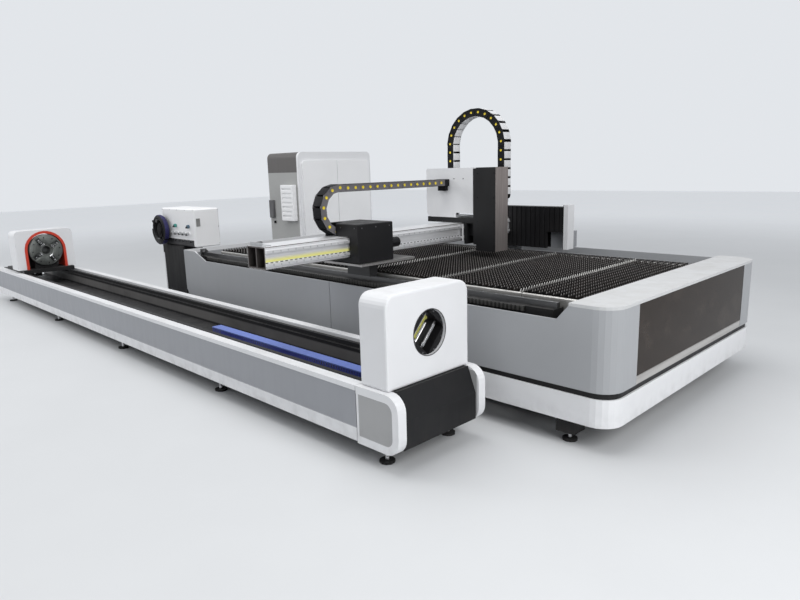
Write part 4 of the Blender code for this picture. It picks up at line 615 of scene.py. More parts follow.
def carriage_paint():
    """A ground base plate on black sliders."""
    pale = (0.42, 0.41, 0.40)
    finish = Finish("ground plate on black sliders", pale, 0.32, 0.8)
    plate = finish.axis("Z") > 0.8995
    line = finish.noise(90, 3, (0.05, 1, 1))
    ground = finish.mix(finish.ramp(line, 0.3, 0.7), pale, (0.30, 0.29, 0.285))
    finish.set("Base Color", finish.mix(plate, (0.014, 0.014, 0.015), ground))
    finish.set("Metallic", plate * 0.8)
    finish.set("Roughness", (finish.ramp(line, 0.3, 0.7) * 0.12 + 0.32).held())
    finish.bump(line, 0.1, 0.0003)
    return finish.material


def far_cover_paint():
    """Black folds that end in a white plate."""
    finish = Finish("black folds with a white end plate", DEEP_BLACK, 0.36)
    finish.set("IOR", 1.3)
    plate = finish.axis("X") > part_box("far_drive_cover")[1].x - 0.0405
    return weather(finish, finish.mix(plate, DEEP_BLACK, WHITE), 0.4, dust=0.06, grime=0.0)


cheek_paint = inlay_paint()
end_cap_paint = cap_paint()
side_panel_finish = side_panel_paint()
cabinet_finish = cabinet_paint()
tower_finish = tower_paint()
folds_finish = far_cover_paint()
trough_finish = trough_paint()
pedestal_finish = pedestal_paint()
box_finish = box_paint()
carriage_finish = carriage_paint()
red_paint = powder_paint("red rim paint", (0.58, 0.045, 0.02), 0.36, dust=0.05)
print("banded paints ready")

# %% [markdown]
# ## Bare metal
#
# Machined and drawn metal differ in the way their fine lines run. A rail or a beam is
# drawn out along its length, a face plate is turned in circles, and a slat is rolled
# sheet that the laser has burnt and spattered from above.

# %% Metals
ALUMINIUM = (0.82, 0.82, 0.83)


def drawn_metal(name, colour, roughness, stretch, scale=90, dirt=0.25):
    """Metal whose fine lines run along the axis with the smallest stretch."""
    finish = Finish(name, colour, roughness, 0.95)
    line = finish.noise(scale, 3, stretch)
    stain = finish.ramp(finish.noise(6, 5), 0.5, 0.8)
    lined = finish.mix(finish.ramp(line, 0.3, 0.7) * 0.5, colour, darker(colour, 0.72))
    finish.set("Base Color", finish.mix(stain * dirt, lined, darker(colour, 0.35)))
    finish.set("Roughness", (finish.ramp(line, 0.25, 0.75) * 0.16 + stain * 0.2 + roughness).held())
    finish.bump(line, 0.12, 0.0003)
    return finish


rail_steel = drawn_metal("ground rail steel", (0.13, 0.13, 0.132), 0.3, (0.03, 2, 2)).material
oily_steel = drawn_metal("oily rack steel", (0.085, 0.083, 0.08), 0.36, (0.2, 1, 1), 60, 0.5).material
block_steel = drawn_metal("machined steel", (0.50, 0.50, 0.51), 0.3, (1, 1, 0.2), 160).material
bright_steel = drawn_metal("bright jaw steel", (0.66, 0.66, 0.67), 0.22, (1, 1, 0.3), 200).material
jaw_steel = drawn_metal("blued jaw steel", (0.075, 0.078, 0.078), 0.32, (1, 1, 0.3), 200).material
brass_strip = drawn_metal("brass strip", (0.60, 0.58, 0.16), 0.3, (1, 0.2, 1), 120).material
plate_aluminium = drawn_metal("aluminium plate", ALUMINIUM, 0.32, (1, 0.06, 1), 80).material


def beam_metal():
    """Drawn along Y, with a painted yellow sheen over measuring marks, and its ends and chamfers painted
    dark as shade.
    """
    finish = drawn_metal("drawn aluminium beam", ALUMINIUM, 0.30, (2, 0.03, 2), 70, 0.12)
    low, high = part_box("gantry_beam")
    x, y, z = finish.axis("X"), finish.axis("Y"), finish.axis("Z")
    skin = 2.0945
    front = (finish.facing("X") > 0.9) * (x > skin)
    # A yellow sheen is painted on the front near the near end, over the measuring marks.
    strip = finish.ramp(z, 1.004, 1.007) * finish.ramp(z, 1.012, 1.042, 1.0, 0.0) * front * (y < -1.24)
    mark = ((y * 26).fraction() < 0.55) * z.between(0.998, 1.004) * front
    # The ends and the chamfers off the front skin are painted dark brown, as shade.
    painted_shade = x.between(low.x + 0.001, skin) * z.between(low.z + 0.001, high.z - 0.001)
    bare = finish.shader.inputs["Base Color"].links[0].from_socket
    marked = finish.mix(mark, Value(finish, bare), (0.05, 0.05, 0.05))
    with_sheen = finish.mix(strip * 0.85, marked, (0.80, 0.76, 0.16))
    finish.set("Base Color", finish.mix(painted_shade, with_sheen, (0.10, 0.088, 0.084)))
    finish.set("Metallic", 0.62 - strip * 0.6 - mark * 0.3)
    return finish.material


def turned_metal():
    """Rings left by the lathe round the chuck's axis."""
    finish = Finish("turned face plate", (0.15, 0.16, 0.15), 0.38, 0.8)
    y, z = finish.axis("Y") - TUBE_Y, finish.axis("Z") - TUBE_Z
    radius = (y * y + z * z).maths("SQRT")
    ring = ((radius * 230).maths("SINE") * 0.5 + 0.5) * 0.6 + finish.noise(40, 3) * 0.4
    oily = finish.ramp(finish.noise(14, 5), 0.4, 0.7)
    lined = finish.mix(ring * 0.5, (0.165, 0.175, 0.165), (0.11, 0.118, 0.112))
    finish.set("Base Color", finish.mix(oily * 0.4, lined, (0.06, 0.062, 0.058)))
    finish.set("Roughness", (ring * 0.1 + oily * 0.12 + 0.34).held())
    finish.bump(ring, 0.1, 0.0003)
    return finish.material


def slat_metal():
    """Rolled sheet, dark with scale, a little brown from heat, with tips that are rubbed and carry a painted
    highlight.
    """
    finish = Finish("burnt slat sheet", (0.03, 0.028, 0.027), 0.5, 0.5)
    finish.set("IOR", 1.2)
    heat = finish.ramp(finish.noise(9, 5), 0.35, 0.7)
    # The tips are lighter from rub wear and from a painted highlight.
    tip_wear_and_highlight = finish.ramp(finish.axis("Z"), 0.815, 0.8285) * finish.ramp(finish.noise(70, 4), 0.2, 0.5)
    speck = finish.ramp(finish.cells(320), 0.10, 0.22, 1.0, 0.0) * tip_wear_and_highlight
    rolled = finish.mix(heat, (0.006, 0.0058, 0.0058), (0.013, 0.0105, 0.009))
    warm = finish.mix(tip_wear_and_highlight * 0.5, rolled, (0.36, 0.34, 0.33))
    finish.set("Base Color", finish.mix(speck, warm, (0.02, 0.018, 0.016)))
    finish.set("Roughness", (heat * 0.2 + speck * 0.3 + 0.42).held())
    finish.set("Metallic", (0.35 - heat * 0.2).held())
    finish.bump(finish.noise(180, 4) + speck, 0.35, 0.0006)
    return finish.material


beam_finish = beam_metal()
disc_finish = turned_metal()
slat_finish = slat_metal()
tray_steel = drawn_metal("scrap tray sheet", (0.22, 0.21, 0.20), 0.45, (0.4, 0.4, 1), 30, 0.6).material
print("metals ready")

# %% [markdown]
# ## Plastic, rubber and the dark window
#
# Chain links and cable duct are moulded plastic with a dull, even skin. The coil's
# cable is black, and its outer turns are dark blue. The window of the bed's end is a
# smoked sheet, glossy and nearly black, with a brushed metal strip along its foot.

# %% Plastics and the window
def moulded(name, colour, roughness=0.5, grain=0.12, gloss=1.45):
    """Dull plastic with a fine moulded texture and a little dust."""
    finish = Finish(name, colour, roughness)
    finish.set("IOR", gloss)
    cloud = finish.ramp(finish.noise(24, 4), 0.35, 0.7)
    pale = tuple(part * 0.85 + 0.03 * min(1.0, part * 30) for part in colour)
    finish.set("Base Color", finish.mix(cloud * 0.5, colour, pale))
    finish.set("Roughness", (cloud * 0.15 + roughness).held())
    finish.bump(finish.noise(700, 2), grain, 0.0003)
    return finish.material


def window_sheet():
    finish = Finish("smoked window over a metal strip", (0.02, 0.018, 0.017), 0.08)
    finish.set("IOR", 1.2)
    strip = finish.axis("Z") < 0.402
    streak = finish.noise(30, 3, (1, 0.04, 1))
    smear = finish.ramp(finish.noise(5, 5, (1, 1, 2)), 0.45, 0.75)
    glass = finish.mix(smear * 0.5, (0.022, 0.015, 0.011), (0.055, 0.042, 0.033))
    metal = finish.mix(finish.ramp(streak, 0.3, 0.7), (0.50, 0.48, 0.46), (0.66, 0.64, 0.62))
    finish.set("Base Color", finish.mix(strip, glass, metal))
    finish.set("Roughness", (strip * 0.22 + smear * 0.1 + 0.07).held())
    finish.set("Metallic", strip * 0.85)
    return finish.material


chain_black = moulded("black chain plastic", (0.022, 0.022, 0.024), 0.45)
chain_grey = moulded("dark grey chain plastic", (0.075, 0.076, 0.08), 0.48)
chain_side = moulded("grey link plastic", (0.125, 0.118, 0.125), 0.48)
pin_yellow = moulded("yellow pin plastic", (0.78, 0.60, 0.03), 0.4)
bar_grey = moulded("light grey bar plastic", (0.42, 0.43, 0.44), 0.45)
grip_grey = moulded("mid grey grip plastic", (0.22, 0.22, 0.215), 0.45)
bar_pale = moulded("pale bar plastic", (0.66, 0.66, 0.67), 0.45)
bar_black = moulded("deep black bar plastic", DEEP_BLACK, 0.5, gloss=1.2)
duct_blue = moulded("blue duct plastic", (0.065, 0.085, 0.40), 0.5)
duct_lid = moulded("pale blue lid plastic", (0.13, 0.19, 0.52), 0.45)
connector_green = moulded("teal connector plastic", (0.06, 0.27, 0.24), 0.4)
connector_blue = moulded("grey blue connector plastic", (0.09, 0.15, 0.20), 0.4)
rubber = moulded("black cable rubber", (0.014, 0.014, 0.015), 0.55, 0.2)


COIL_MIDDLE = Vector((-1.30, -1.085, 0.983))


def coil_sheath():
    """Black cable whose outer turns are dark blue."""
    finish = Finish("black and blue cable sheath", (0.008, 0.008, 0.010), 0.42)
    finish.set("IOR", 1.35)
    across, up = finish.axis("X") - COIL_MIDDLE.x, finish.axis("Z") - COIL_MIDDLE.z
    outer = finish.ramp((across * across + up * up).maths("SQRT"), 0.1555, 0.1585)
    cloud = finish.ramp(finish.noise(24, 4), 0.35, 0.7)
    plain = finish.mix(outer, (0.008, 0.008, 0.010), (0.022, 0.020, 0.095))
    finish.set("Base Color", finish.mix(cloud * 0.3, plain, (0.022, 0.022, 0.026)))
    finish.set("Roughness", (cloud * 0.15 + 0.42).held())
    finish.bump(finish.noise(700, 2), 0.2, 0.0003)
    return finish.material


coil_rubber = coil_sheath()
window_finish = window_sheet()
print("plastics ready")

# %% [markdown]
# ## Paint the solids
#
# Where a solid already has the right shape, it only needs its finish. The rest is
# replaced further down by modelled pieces.

# %% Dress the solids
def dress(finish, *names):
    for name in names:
        for holder in nodes[name].material_slots:
            holder.material = finish


dress(white_paint, "skirt", "head_cover", "front_chuck_housing", "rear_chuck_housing")
dress(door_paint, "cabinet_door_near", "cabinet_door_far", "air_conditioner")
dress(box_finish, "utility_box")
dress(side_panel_finish, "front_panel_right", "front_panel_left", "rear_panel")
dress(shelf_paint, "end_shelf")
dress(black_paint, "plate_bed_frame", "chute", "rear_carriage", "head_carriage")
dress(trough_finish, "tube_bed_frame")
dress(pedestal_finish, "pedestal")
dress(cover_paint, "near_drive_cover", "drive_motor", "front_chuck_rotor")
dress(folds_finish, "far_drive_cover")
dress(cheek_paint, "near_cheek", "far_cheek")
dress(end_cap_paint, "near_end_cap", "far_end_cap")
dress(cabinet_finish, "cabinet_body")
dress(tower_finish, "z_tower")
dress(red_paint, "rear_rim")
dress(dark_paint, "rear_motor", "laser_source")
dress(mid_paint, "far_carriage")
dress(window_finish, "end_window")
dress(slat_finish, *["slat_module_%d" % (i + 1) for i in range(6)])
dress(tray_steel, "scrap_tray")
dress(rail_steel, "near_rail", "far_rail", "near_rack")
dress(carriage_finish, "near_carriage")
dress(block_steel, "front_jaw_1", "front_jaw_2", "cutting_head")
dress(bright_steel, "rear_jaw_1", "rear_jaw_2", "rear_jaw_3", "rear_jaw_4")
dress(disc_finish, "rear_chuck_disc")
dress(beam_finish, "gantry_beam")
dress(plate_aluminium, "z_slide")
dress(chain_black, "y_chain", "z_chain", "tube_chain")
dress(duct_blue, "cable_duct")
dress(rubber, "cable_coil")
print("solids dressed")

# %% [markdown]
# ## Floor and light
#
# The machine stands on a plain pale floor under soft lamps. Camera and glossy surfaces
# see a nearly white sky, so metal and glass show it too, while its light on the machine
# is weaker. Far out the floor glows a little, in the same way, so that it meets the sky
# without a hard edge. Near the machine it has its own colour alone.

# %% Floor, sky and lamps
deselect()
bpy.ops.mesh.primitive_plane_add(size=60, location=(0, 0, 0))
floor = settle("floor")
floor_paint = Finish("pale floor", (0.62, 0.63, 0.64), 0.55)
tile = floor_paint.ramp(floor_paint.noise(0.9, 4), 0.3, 0.7)
floor_paint.set("Base Color", floor_paint.mix(tile * 0.3, (0.64, 0.65, 0.66), (0.58, 0.59, 0.60)))
rays = floor_paint.node("ShaderNodeLightPath", out="Is Camera Ray")
gloss = floor_paint.node("ShaderNodeLightPath", out="Is Glossy Ray")
floor_x, floor_y = floor_paint.axis("X"), floor_paint.axis("Y")
reach = (floor_x * floor_x + floor_y * floor_y).maths("SQRT")
fade = floor_paint.ramp(reach, 4.0, 16.0) * rays.maths("MAXIMUM", gloss)
floor_paint.set("Emission Color", floor_paint.mix(fade, (0, 0, 0), (0.30, 0.31, 0.325)))
floor_paint.set("Emission Strength", 1.0)
coat(floor, floor_paint.material)

world = bpy.data.worlds.new("pale sky")
world.use_nodes = True
bpy.context.scene.world = world
sky = world.node_tree
background = sky.nodes["Background"]
background.inputs["Color"].default_value = (0.90, 0.93, 0.97, 1)
rays = sky.nodes.new("ShaderNodeLightPath")
seen = sky.nodes.new("ShaderNodeMath")
seen.operation = "MAXIMUM"
sky.links.new(rays.outputs["Is Camera Ray"], seen.inputs[0])
sky.links.new(rays.outputs["Is Glossy Ray"], seen.inputs[1])
strength = sky.nodes.new("ShaderNodeMapRange")
strength.inputs["To Min"].default_value = 0.45
strength.inputs["To Max"].default_value = 0.85
sky.links.new(seen.outputs[0], strength.inputs["Value"])
sky.links.new(strength.outputs["Result"], background.inputs["Strength"])


def lamp(name, place, aim, size, power):
    """A soft square lamp that points at a spot."""
    light = bpy.data.lights.new(name, "AREA")
    light.shape = "SQUARE"
    light.size = size
    light.energy = power
    holder = bpy.data.objects.new(name, light)
    holder.matrix_world = facing(place, Vector(place) - Vector(aim))
    bpy.context.scene.collection.objects.link(holder)


lamp("roof lamp", (1.0, -1.5, 7.5), (0.5, -0.5, 0), 6.0, 325)
lamp("window side lamp", (9.0, -2.6, 4.4), (1.0, 0, 0.8), 4.0, 330)
lamp("far side lamp", (-6.0, -6.0, 5.0), (-1.0, 0, 0.8), 4.0, 215)
print("floor, sky and lamps ready")

# %% [markdown]
# ## The hanging coil of cable
#
# A coil of spare cable hangs beside the connection box. It is one length of
# rubber-covered cable, wound in four layers of four turns. It leaves the box's side,
# bends down and forward into the outermost turn, and its plug lies on the inside of
# the ring. A curve with a round section is the natural way to make it, because its
# length can be measured along the same points.

# %% Cable coil
CABLE = 0.0125
COIL_LAYERS = (0.1577, 0.1448, 0.1319, 0.1190)
TURNS_A_LAYER = 4
STEPS_A_TURN = 24


def coil_points():
    """From the box's left side into the outer layer, then layer by layer inwards."""
    lead = [
        Vector(point) for point in (
            (-1.345, -0.960, 1.010), (-1.368, -0.960, 1.010), (-1.392, -0.966, 1.010),
            (-1.418, -0.982, 1.010), (-1.440, -1.006, 1.008), (-1.454, -1.034, 1.002),
        )
    ]
    wound = []
    plain = 0.88  # after this share of a layer, the cable eases into the next one
    depth = CABLE * (TURNS_A_LAYER - 1) / 2
    for index, radius in enumerate(COIL_LAYERS):
        way = 1 if index % 2 == 0 else -1
        for step in range(TURNS_A_LAYER * STEPS_A_TURN):
            share = step / (TURNS_A_LAYER * STEPS_A_TURN)
            angle = math.pi + 2 * math.pi * step / STEPS_A_TURN
            ease = max(0.0, min(1.0, (share - plain) / (1 - plain)))
            inner = COIL_LAYERS[min(index + 1, len(COIL_LAYERS) - 1)]
            reach = radius + (inner - radius) * ease * ease * (3 - 2 * ease)
            y = way * depth * (2 * min(share / plain, 1.0) - 1)
            wound.append(COIL_MIDDLE + Vector((reach * math.cos(angle), y, reach * math.sin(angle))))
    tail = []
    for step in range(7):
        angle = math.radians(180 + 75.9 * step / 6)
        reach = COIL_LAYERS[-1] - 0.0163 * math.sin(math.radians(15 * step))
        tail.append(COIL_MIDDLE + Vector((reach * math.cos(angle), -depth, reach * math.sin(angle))))
    return lead + wound + tail


def cable(name, points, thickness, finish, sides=3):
    """A round cable through a row of points. More sides make its section rounder."""
    data = bpy.data.curves.new(name, "CURVE")
    data.dimensions = "3D"
    data.bevel_depth = thickness / 2
    data.bevel_resolution = sides
    data.use_fill_caps = True
    line = data.splines.new("POLY")
    line.points.add(len(points) - 1)
    for spot, point in zip(line.points, points):
        spot.co = (*point, 1)
    piece = bpy.data.objects.new(name, data)
    bpy.context.scene.collection.objects.link(piece)
    data.materials.append(finish)
    return piece


route = coil_points()
coil = cable("coil_cable", route, CABLE, coil_rubber)

plug = drum("coil_plug", (0, 0, 0.024), 0.0095, 0.05, sides=20)
with editing(plug):
    pick_faces(lambda middle, normal: normal.z > 0.9)
    inset(0.0022)
    pull_out(z=-0.012)
    pick_faces(lambda middle, normal: abs(normal.z) < 0.1 and middle.z < 0.05)
    bpy.ops.mesh.subdivide(number_cuts=1)
soften(plug, 0.001)
plug.data.transform(facing(route[-1] - Vector((0.004, 0, 0)), FRONT))
coat(plug, chain_grey)

gland = boss(drum("coil_gland", (0, 0, 0.008), 0.013, 0.016, sides=6), UP, 0.003, 0.009)
soften(gland, 0.0008)
gland.data.transform(facing((-1.346, -0.960, 1.010), BACK))
coat(gland, chain_black)

for piece in (coil, plug, gland):
    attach(piece, "bed")
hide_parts("cable_coil")

# %% [markdown]
# Two straps hold the turns together. Each is a short flat loop round the bundle. A
# cube with its end faces taken away gives the loop, and Solidify gives it its thickness.

# %% Coil straps
def strap(name, angle):
    """A loop round the bundle at an angle of the ring."""
    loop = cube(name, (0.1105, -0.0266, -0.008), (0.1655, 0.0266, 0.008))
    with editing(loop):
        pick_faces(lambda middle, normal: abs(normal.z) > 0.9)
        bpy.ops.mesh.delete(type="FACE")
    thicken(loop, 0.0016, -1)
    soften(loop, 0.0006, 1)
    loop.data.transform(Matrix.Translation(COIL_MIDDLE) @ Matrix.Rotation(angle, 4, "Y"))
    return coat(loop, bar_black)


straps = join("coil_straps", strap("strap_low", math.radians(38)), strap("strap_side", math.radians(215)))
hand_over(straps, "bed", "chain_plastic")

# %% [markdown]
# ## The slat table
#
# The sheet lies on the tips of many thin saw-toothed slats, which stand in six lift-out
# frames. A slat could be cut with a boolean per tooth, but a tooth is only two points.
# So one strip is added as a grid, every second point of its upper row is pushed up,
# and Solidify gives the sheet its thickness. That slat is then copied through each frame.

# %% One slat
SLAT_Y = (-0.972, 0.632)
SLAT_FOOT = 0.735
SLAT_VALLEY = 0.806
SLAT_TIP = 0.830
SLAT_SHEET = 0.004
TEETH = 54


def slat():
    """A saw-toothed strip across the table, standing at X = 0."""
    centre = (0, (SLAT_Y[0] + SLAT_Y[1]) / 2, (SLAT_FOOT + SLAT_VALLEY) / 2)
    size = (1, SLAT_Y[1] - SLAT_Y[0], SLAT_VALLEY - SLAT_FOOT)
    half = size[1] / (TEETH * 2)
    deselect()
    bpy.ops.mesh.primitive_grid_add(
        x_subdivisions=1, y_subdivisions=TEETH * 2, size=1, location=centre, rotation=(0, math.pi / 2, 0)
    )
    strip = settle("slat")
    with editing(strip):
        bpy.ops.mesh.select_all(action="SELECT")
        bpy.ops.transform.resize(value=size, center_override=centre)
        pick_points(lambda p: p.z > centre[2] and round((p.y - SLAT_Y[0]) / half) % 2 == 1)
        push(z=SLAT_TIP - SLAT_VALLEY)
    thicken(strip, SLAT_SHEET, 0)
    return coat(strip, slat_finish)


sample = slat()
print("one slat has", len(sample.data.polygons), "faces and", TEETH, "teeth")

# %% [markdown]
# Each frame has two side bars with notches for the slats and two end bars. The side
# bars catch the light as pale lines along both edges of the table. The module at the
# window's end is the short one. In the longer ones the last slat is a fresh one, whose
# bright teeth draw a white line across the table. A frame and its slats make one piece.

# %% Slat modules
SLAT_PITCH = 0.048
slat_edge = drawn_metal("worn slat frame", (0.52, 0.51, 0.49), 0.38, (0.1, 1, 1), 60, 0.4).material


def module(index):
    """One lift-out frame with its slats, in the room of its solid."""
    name = "slat_module_%d" % index
    low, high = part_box(name)
    count = round((high.x - low.x) / SLAT_PITCH)
    places = evenly(low.x + 0.015, high.x - 0.015, count)
    slats = repeat(twin(sample), shifts(*[(x, 0, 0) for x in places[:-1]]), "slats")
    last = repeat(twin(sample), shifts((places[-1], 0, 0)), "last slat")
    bars = [coat(last, slat_edge) if index > 1 else last]
    for y in (low.y, high.y - 0.016):
        bar = boss(cube("bar", (low.x, y, low.z), (high.x, y + 0.016, SLAT_VALLEY)), UP, 0.004, 0.004)
        bars.append(coat(soften(bar, 0.0015, 1), slat_edge))
    for x in (low.x + 0.004, high.x - 0.012):
        bar = cube("end bar", (x, low.y + 0.012, low.z), (x + 0.008, high.y - 0.012, 0.742))
        bars.append(coat(soften(bar, 0.001, 1), slat_edge))
    made = join(name + "_teeth", slats, *bars)
    return hand_over(made, "bed", "slat_steel", name)


for index in range(1, 7):
    module(index)
bpy.data.objects.remove(sample)

# %% [markdown]
# ## Energy chains
#
# Cables to moving parts run in chains of plastic links. A link is two side plates with
# a round pin where it is hinged to the next, tied together by cross bars. One link is
# modelled flat on a straight line. A run then tells where each copy goes and which way
# it points: along a straight, round half a turn, and along a straight back.

# %% The way of a chain
class Run:
    """A chain's way: out along a line, round half a turn, and back."""

    def __init__(self, start, way, out, side, radius, back):
        self.start, self.way, self.side = Vector(start), Vector(way), Vector(side)
        self.out, self.radius, self.back = out, radius, back
        self.length = out + math.pi * radius + back

    def at(self, s):
        """The point and the heading after a length s."""
        turn = math.pi * self.radius
        if s < self.out:
            return self.start + self.way * s, self.way
        centre = self.start + self.way * self.out + self.side * self.radius
        if s < self.out + turn:
            angle = (s - self.out) / self.radius
            place = self.way * math.sin(angle) - self.side * math.cos(angle)
            return centre + place * self.radius, self.way * math.cos(angle) + self.side * math.sin(angle)
        return centre + self.side * self.radius - self.way * (s - self.out - turn), self.way * -1

    def spots(self, pitch, across, spare):
        """A spot for each link: X along the run, Y across the chain, spare room at both ends."""
        count = round((self.length - 2 * spare) / pitch)
        step = (self.length - 2 * spare) / count
        found = []
        for i in range(count):
            place, heading = self.at(spare + step * (i + 0.5))
            axes = Matrix((heading, across, heading.cross(across))).transposed().to_4x4()
            found.append(Matrix.Translation(place) @ axes)
        return found, step


print("chain run ready")

# %% [markdown]
# A side plate starts as a cube. The edges at its ends are bevelled into two lobes, and
# its outer face is inset and pushed in. Every second plate sits a little deeper, so the
# lobes overlap and no light shows through where the chain bends. The pin is a short
# drum with a dished head, and cross bars tie the two plates together.

# %% One chain link
def link(pitch, width, height, finishes, pin, bar, inner):
    """A link that is centred on the line of the chain and reaches across in Y.

    The pin is a share of the height, and the cross bar's length a share of the pitch.
    """
    plate_finish, pin_finish, bar_finish = finishes
    half, lobe = pitch / 2, height * 0.48
    step = 0.002 if inner else 0.0
    pieces = []
    for y, out in ((step, -1), (width - 0.006 - step, 1)):
        plate = cube("plate", (-half - lobe, y, -lobe), (half + lobe, y + 0.006, lobe))
        with editing(plate):
            pick_edges(lambda middle, way: abs(way.y) > 0.9)
            bpy.ops.mesh.bevel(offset=lobe * 0.92, segments=4, affect="EDGES")
            pick_faces(lambda middle, normal: normal.y * out > 0.9)
            inset(height * 0.08)
            push(y=-out * 0.001)
        pieces.append(coat(plate, plate_finish))
    for y, out in ((0.001, -1), (width - 0.001, 1)):
        head = drum("pin", (half, y, 0), height * pin, 0.006, "Y", 10)
        pieces.append(coat(dish(head, (0, out, 0), height * pin * 0.3, -0.0012), pin_finish))
    for z in (-height * 0.5, height * 0.5 - 0.005):
        rib = cube("bar", (-half * bar, 0.003, z), (half * bar, width - 0.003, z + 0.005))
        with editing(rib):
            pick_faces(lambda middle, normal: normal.z * z > 0)
            inset(pitch * 0.06)
            push(z=math.copysign(0.001, z))
        pieces.append(coat(rib, bar_finish))
    return soften(join("link", *pieces), 0)


def chain(name, run, pitch, across, width, height, finishes, pin, bar):
    """Copies two kinds of link in turn along a run, so that their lobes overlap."""
    spots, step = run.spots(pitch, Vector(across), height / 2)
    outer = repeat(link(step, width, height, finishes, pin, bar, False), spots[::2], "outer links")
    inner = repeat(link(step, width, height, finishes, pin, bar, True), spots[1::2], "inner links")
    made = join(name, outer, inner)
    print(name, len(spots), "links,", len(made.data.polygons), "faces")
    return made


print("link ready")

# %% [markdown]
# The gantry's chain is the one with bright yellow pins: it lies in the near cover, turns
# upwards and runs back to the head. The tall arch feeds the Z axis and shows pale cross
# bars on its outer side. The rear chuck's chain lies flat in the tube bed.

# %% Three chains
gantry_run = Run((1.860, -0.998, 1.1323), (0, -1, 0), 0.20, (0, 0, 1), 0.15735, 1.2177)
gantry_chain = chain(
    "gantry_chain", gantry_run, 0.0735, (1, 0, 0), 0.10, 0.054,
    (chain_side, pin_yellow, bar_black), 0.21, 0.98,
)
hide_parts("y_chain")
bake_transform(gantry_chain)

arch_run = Run((1.803, 0.222, 1.1506), (0, 0, 1), 0.5994, (1, 0, 0), 0.275, 0.452)
arch_chain = chain(
    "arch_chain", arch_run, 0.0725, (0, 1, 0), 0.096, 0.068,
    (bar_black, pin_yellow, bar_pale), 0.14, 0.78,
)
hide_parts("z_chain")
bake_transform(arch_chain)

bed_run = Run((0.995, -1.905, 0.3056), (-1, 0, 0), 4.35, (0, 0, 1), 0.0495, 0.20)
bed_chain = chain(
    "tube_bed_chain", bed_run, 0.056, (0, 1, 0), 0.09, 0.048,
    (chain_black, chain_grey, chain_grey), 0.16, 0.7,
)
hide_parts("tube_chain")
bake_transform(bed_chain)

# %% [markdown]
# ## Rack and screws
#
# The gantry is driven along a toothed rack under the near rail. Its teeth are coarse
# and point to the near side, and seen from above they stand out against the dark gap
# behind the panel. A tooth is a cube narrowed at its tip, copied along the bar.

# %% Rack
RACK_PITCH = 0.0295


def rack():
    low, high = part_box("near_rack")
    bar = dish(cube("bar", (low.x, low.y + 0.011, low.z), high), UP, 0.002, -0.001)
    tooth = cube("tooth", (-0.0125, low.y, low.z + 0.001), (0.0125, low.y + 0.012, high.z - 0.001))
    with editing(tooth):
        pick_faces(lambda middle, normal: normal.y < -0.9)
        bpy.ops.transform.resize(value=(0.3, 1, 1))
    places = evenly(low.x + 0.015, high.x - 0.015, round((high.x - low.x) / RACK_PITCH))
    teeth = repeat(tooth, shifts(*[(x, 0, 0) for x in places]), "teeth")
    made = coat(join("rack_teeth", bar, teeth), oily_steel)
    return hand_over(made, "bed", "machined_steel", "near_rack")


rack()

# %% [markdown]
# Socket screws hold rails, covers and jaws. The head is a drum whose top is inset and
# pushed in for the key, and the same head is copied to each place with its face turned
# the right way.

# %% Socket screws
def screw(radius=0.006, height=0.004):
    """A socket screw head that stands on Z = 0."""
    head = drum("screw", (0, 0, height / 2), radius, height, sides=12)
    return boss(head, UP, radius * 0.42, -height * 0.6)


def screws(name, body, spots, finish, radius, height):
    """Screw heads at places, each with the way that it faces."""
    turned = [facing(place, way, FAR if way == UP else UP) for place, way in spots]
    made = coat(repeat(screw(radius, height), turned, name), finish)
    return hand_over(soften(made, 0), body, "machined_steel")


def along(axis, first, last, count, place, normal):
    """Screw places in a row: the axis's number runs, and the rest stays."""
    row = []
    for value in evenly(first, last, count):
        spot = list(place)
        spot["XYZ".index(axis)] = value
        row.append((tuple(spot), normal))
    return row


def circle(x, radius, *turns):
    """Screw places on a circle about the tube's axis, which face the front."""
    angles = [math.radians(turn) for turn in turns]
    return [((x, TUBE_Y + radius * math.cos(a), TUBE_Z + radius * math.sin(a)), FRONT) for a in angles]


rail_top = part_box("near_rail")[0].z + 0.035
rows = []
for y in (-1.04, 0.85):
    rows += along("X", -0.36, 3.64, 41, (0, y, rail_top - 0.0044), UP)
screws("rail_screws", "bed", rows, block_steel, 0.0065, 0.0045)

beam_low, beam_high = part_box("gantry_beam")
rows = []
for z in (beam_low.z + 0.032, beam_high.z - 0.032):
    rows += along("Y", beam_low.y + 0.05, 0.62, 43, (beam_high.x - 0.0035, 0, z), FRONT)
screws("beam_rail_screws", "gantry", rows, block_steel, 0.0055, 0.0042)

rows = along("X", 2.014, 2.114, 2, (0, 0.0205, 1.478), NEAR)
rows += [((1.6965, 0.06, 1.53), BACK), ((1.6965, 0.18, 1.53), BACK)]
screws("head_cover_screws", "head", rows, chain_grey, 0.005, 0.0025)

rows = []
for x in (2.262, 2.43):
    rows += along("Z", 0.93, 1.52, 4, (x, 0.0253, 0), NEAR)
screws("tower_screws", "head", rows, bar_black, 0.0045, 0.002)

rows = along("X", 1.87, 2.17, 3, (0, -1.2597, 1.17), NEAR)
rows += along("Y", -1.22, -0.95, 3, (2.2047, 0, 1.17), FRONT)
screws("drive_cover_screws", "gantry", rows, chain_grey, 0.005, 0.0025)

# %% [markdown]
# ## The rear chuck
#
# The face plate of the rear chuck has four ways in which the jaws slide. Between the
# ways stand four raised quarters. A drum with a hole through it is cut by two crossed
# bars, which leaves the quarters, and their edges are softened. Two screws hold each.

# %% Face plate quarters
CHUCK_MIDDLE = Vector((0, TUBE_Y, TUBE_Z))
REAR_FACE = -3.135
REAR_ANGLE = 32


def carve(piece, *cutters):
    """Cuts pieces out of another with an applied boolean, and removes them."""
    for cutter in cutters:
        choose(piece)
        bite = piece.modifiers.new("cut", "BOOLEAN")
        bite.operation = "DIFFERENCE"
        bite.object = cutter
        bpy.ops.object.modifier_apply(modifier=bite.name)
        bpy.data.objects.remove(cutter)
    return piece


